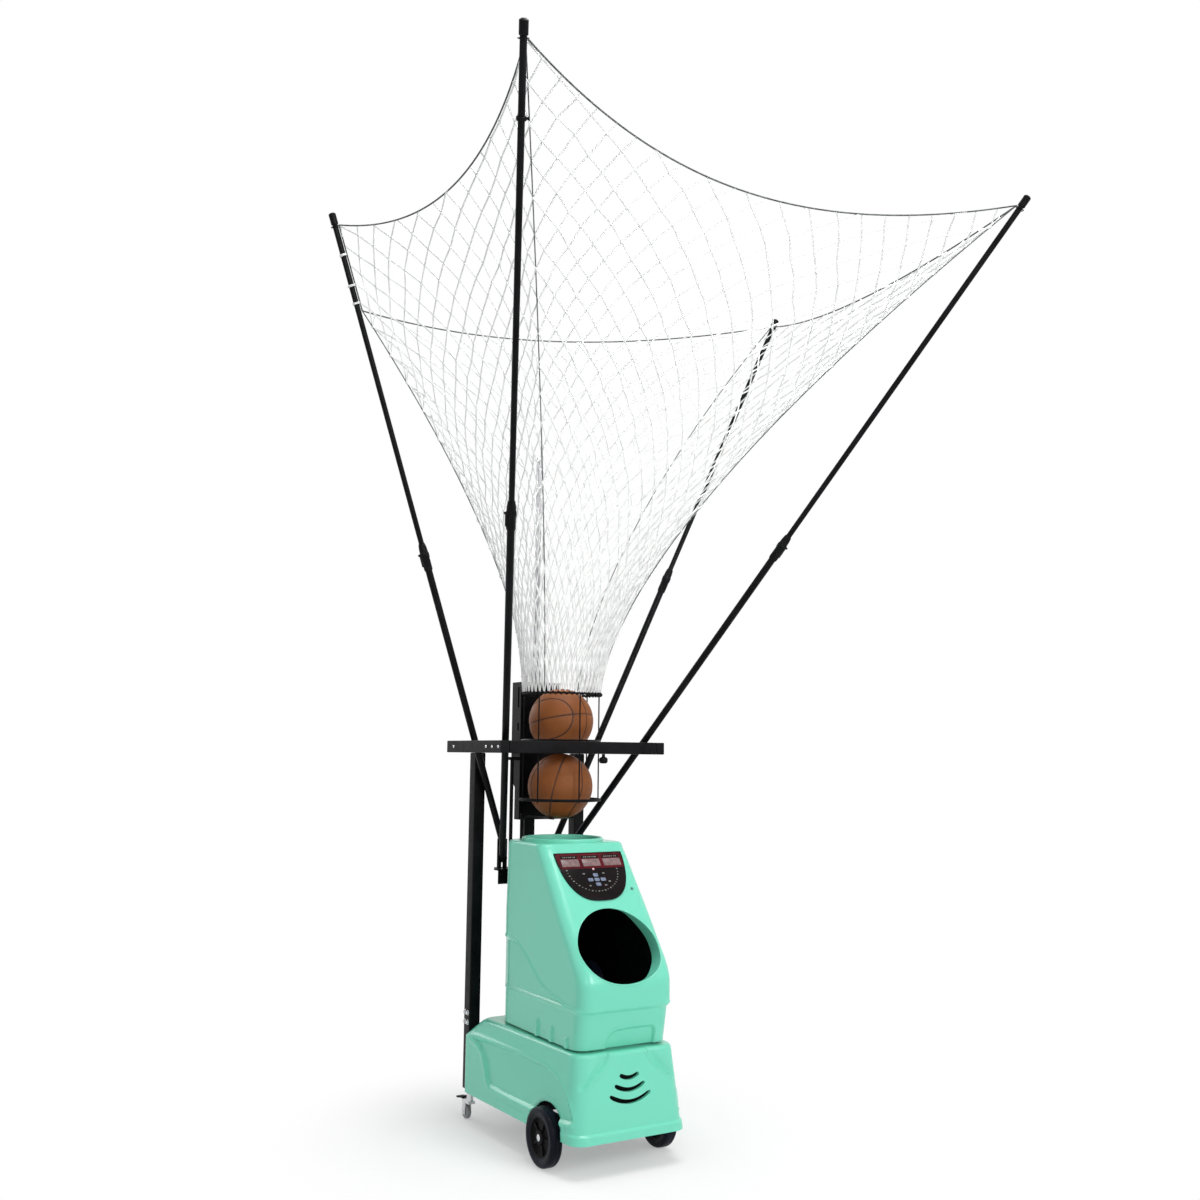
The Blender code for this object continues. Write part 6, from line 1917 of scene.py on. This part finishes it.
# %% Floor
FLOOR_RADIUS = 9.0
FLOOR_GAP = 0.0005
FADE = {"From Min": 0.30, "From Max": 1.1, "To Min": 0.35}
WHITE = (1.0, 1.0, 1.0, 1.0)
floor_shape = bmesh.new()
bmesh.ops.create_circle(floor_shape, cap_ends=True, segments=96, radius=FLOOR_RADIUS)
floor_mesh = bpy.data.meshes.new("floor")
floor_shape.to_mesh(floor_mesh)
floor_shape.free()
floor = bpy.data.objects.new("floor", floor_mesh)
bpy.context.scene.collection.objects.link(floor)
floor.location = (0, TURNING_AXIS.y, -FLOOR_GAP)
floor_finish = make_finish("floor_finish", (0.95, 0.95, 0.95), 0.9, Specular_IOR_Level=0.1)
floor_shader = shader_of(floor_finish)
glow = add_node(floor_finish, "ShaderNodeEmission", inputs={"Color": WHITE, "Strength": 1.0})
fade_place = add_node(floor_finish, "ShaderNodeTexCoord")
fade_length = add_node(floor_finish, "ShaderNodeVectorMath", operation="LENGTH")
fade = add_node(floor_finish, "ShaderNodeMapRange", inputs=FADE, interpolation_type="SMOOTHSTEP")
rays = sight_rays(floor_finish)
seen = add_node(floor_finish, "ShaderNodeMath", operation="MULTIPLY")
floor_mix = add_node(floor_finish, "ShaderNodeMixShader")
link(floor_finish, fade_place.outputs["Object"], fade_length.inputs[0])
link(floor_finish, fade_length.outputs["Value"], fade.inputs["Value"])
link(floor_finish, fade.outputs["Result"], seen.inputs[0])
link(floor_finish, rays, seen.inputs[1])
link(floor_finish, seen.outputs["Value"], floor_mix.inputs["Fac"])
link(floor_finish, floor_shader.outputs["BSDF"], floor_mix.inputs[1])
link(floor_finish, glow.outputs["Emission"], floor_mix.inputs[2])
floor_output = floor_finish.node_tree.nodes["Material Output"]
link(floor_finish, floor_mix.outputs["Shader"], floor_output.inputs["Surface"])
floor_mesh.materials.append(floor_finish)
print("The floor is", 2 * FLOOR_RADIUS, "m across and all white from", FADE["From Max"], "m out")

# %% [markdown]
# The world gives the even part of the light. It is weak as light and full white to the eye, so that the
# machine is not washed out by its own background.

# %% World
WORLD_STRENGTH = 0.33
world = bpy.data.worlds.new("studio")
bpy.context.scene.world = world
world.use_nodes = True
background = world.node_tree.nodes["Background"]
background.inputs["Color"].default_value = WHITE
background.inputs["Strength"].default_value = WORLD_STRENGTH
backdrop = add_node(world, "ShaderNodeBackground", inputs={"Color": WHITE, "Strength": 1.0})
world_mix = add_node(world, "ShaderNodeMixShader")
link(world, sight_rays(world), world_mix.inputs["Fac"])
link(world, background.outputs["Background"], world_mix.inputs[1])
link(world, backdrop.outputs["Background"], world_mix.inputs[2])
link(world, world_mix.outputs["Shader"], world.node_tree.nodes["World Output"].inputs["Surface"])
print("World strength:", WORLD_STRENGTH)

# %% [markdown]
# Six square area lamps give the shape. A wide key stands in front on the right and a wide sky lamp hangs over
# the machine. Two small ones on the left put the short highlights on the mint edges, one with a narrow spread
# lifts the net off the background, and a rim lamp behind draws the edges of the black frame.

# %% Lamps
def add_lamp(name, place, target, size, power, spread=180):
    """A square area lamp that looks at a target, with its light kept within a spread."""
    data = bpy.data.lights.new(name, "AREA")
    data.shape = "SQUARE"
    data.size = size
    data.energy = power
    data.spread = math.radians(spread)
    lamp = bpy.data.objects.new(name, data)
    bpy.context.scene.collection.objects.link(lamp)
    lamp.location = MACHINE_SHIFT @ Vector(place)
    aim = MACHINE_SHIFT @ Vector(target) - lamp.location
    lamp.rotation_euler = aim.to_track_quat("-Z", "Y").to_euler()
    return lamp


add_lamp("key_lamp", (1.6, -5.6, 3.4), (0, -0.1, 0.8), 2.2, 132)
add_lamp("sky_lamp", (0.4, -1.2, 6.0), (0, -0.1, 0.6), 2.6, 190)
add_lamp("window_lamp", (-4.6, -0.6, 3.4), (0, -0.1, 0.7), 0.6, 6)
add_lamp("corner_lamp", (-3.0, -5.2, 3.0), (0, -0.3, 0.7), 0.7, 26)
add_lamp("net_lamp", (-1.0, -6.5, 4.0), (0, -0.6, 2.9), 1.6, 9, 30)
add_lamp("rim_lamp", (-1.5, 4.5, 3.6), (0, 0, 1.4), 2.4, 60)
bpy.context.scene.view_settings.view_transform = "Standard"
print("Lamps:", len(bpy.data.lights), "with", round(sum(lamp.energy for lamp in bpy.data.lights)), "W in all")
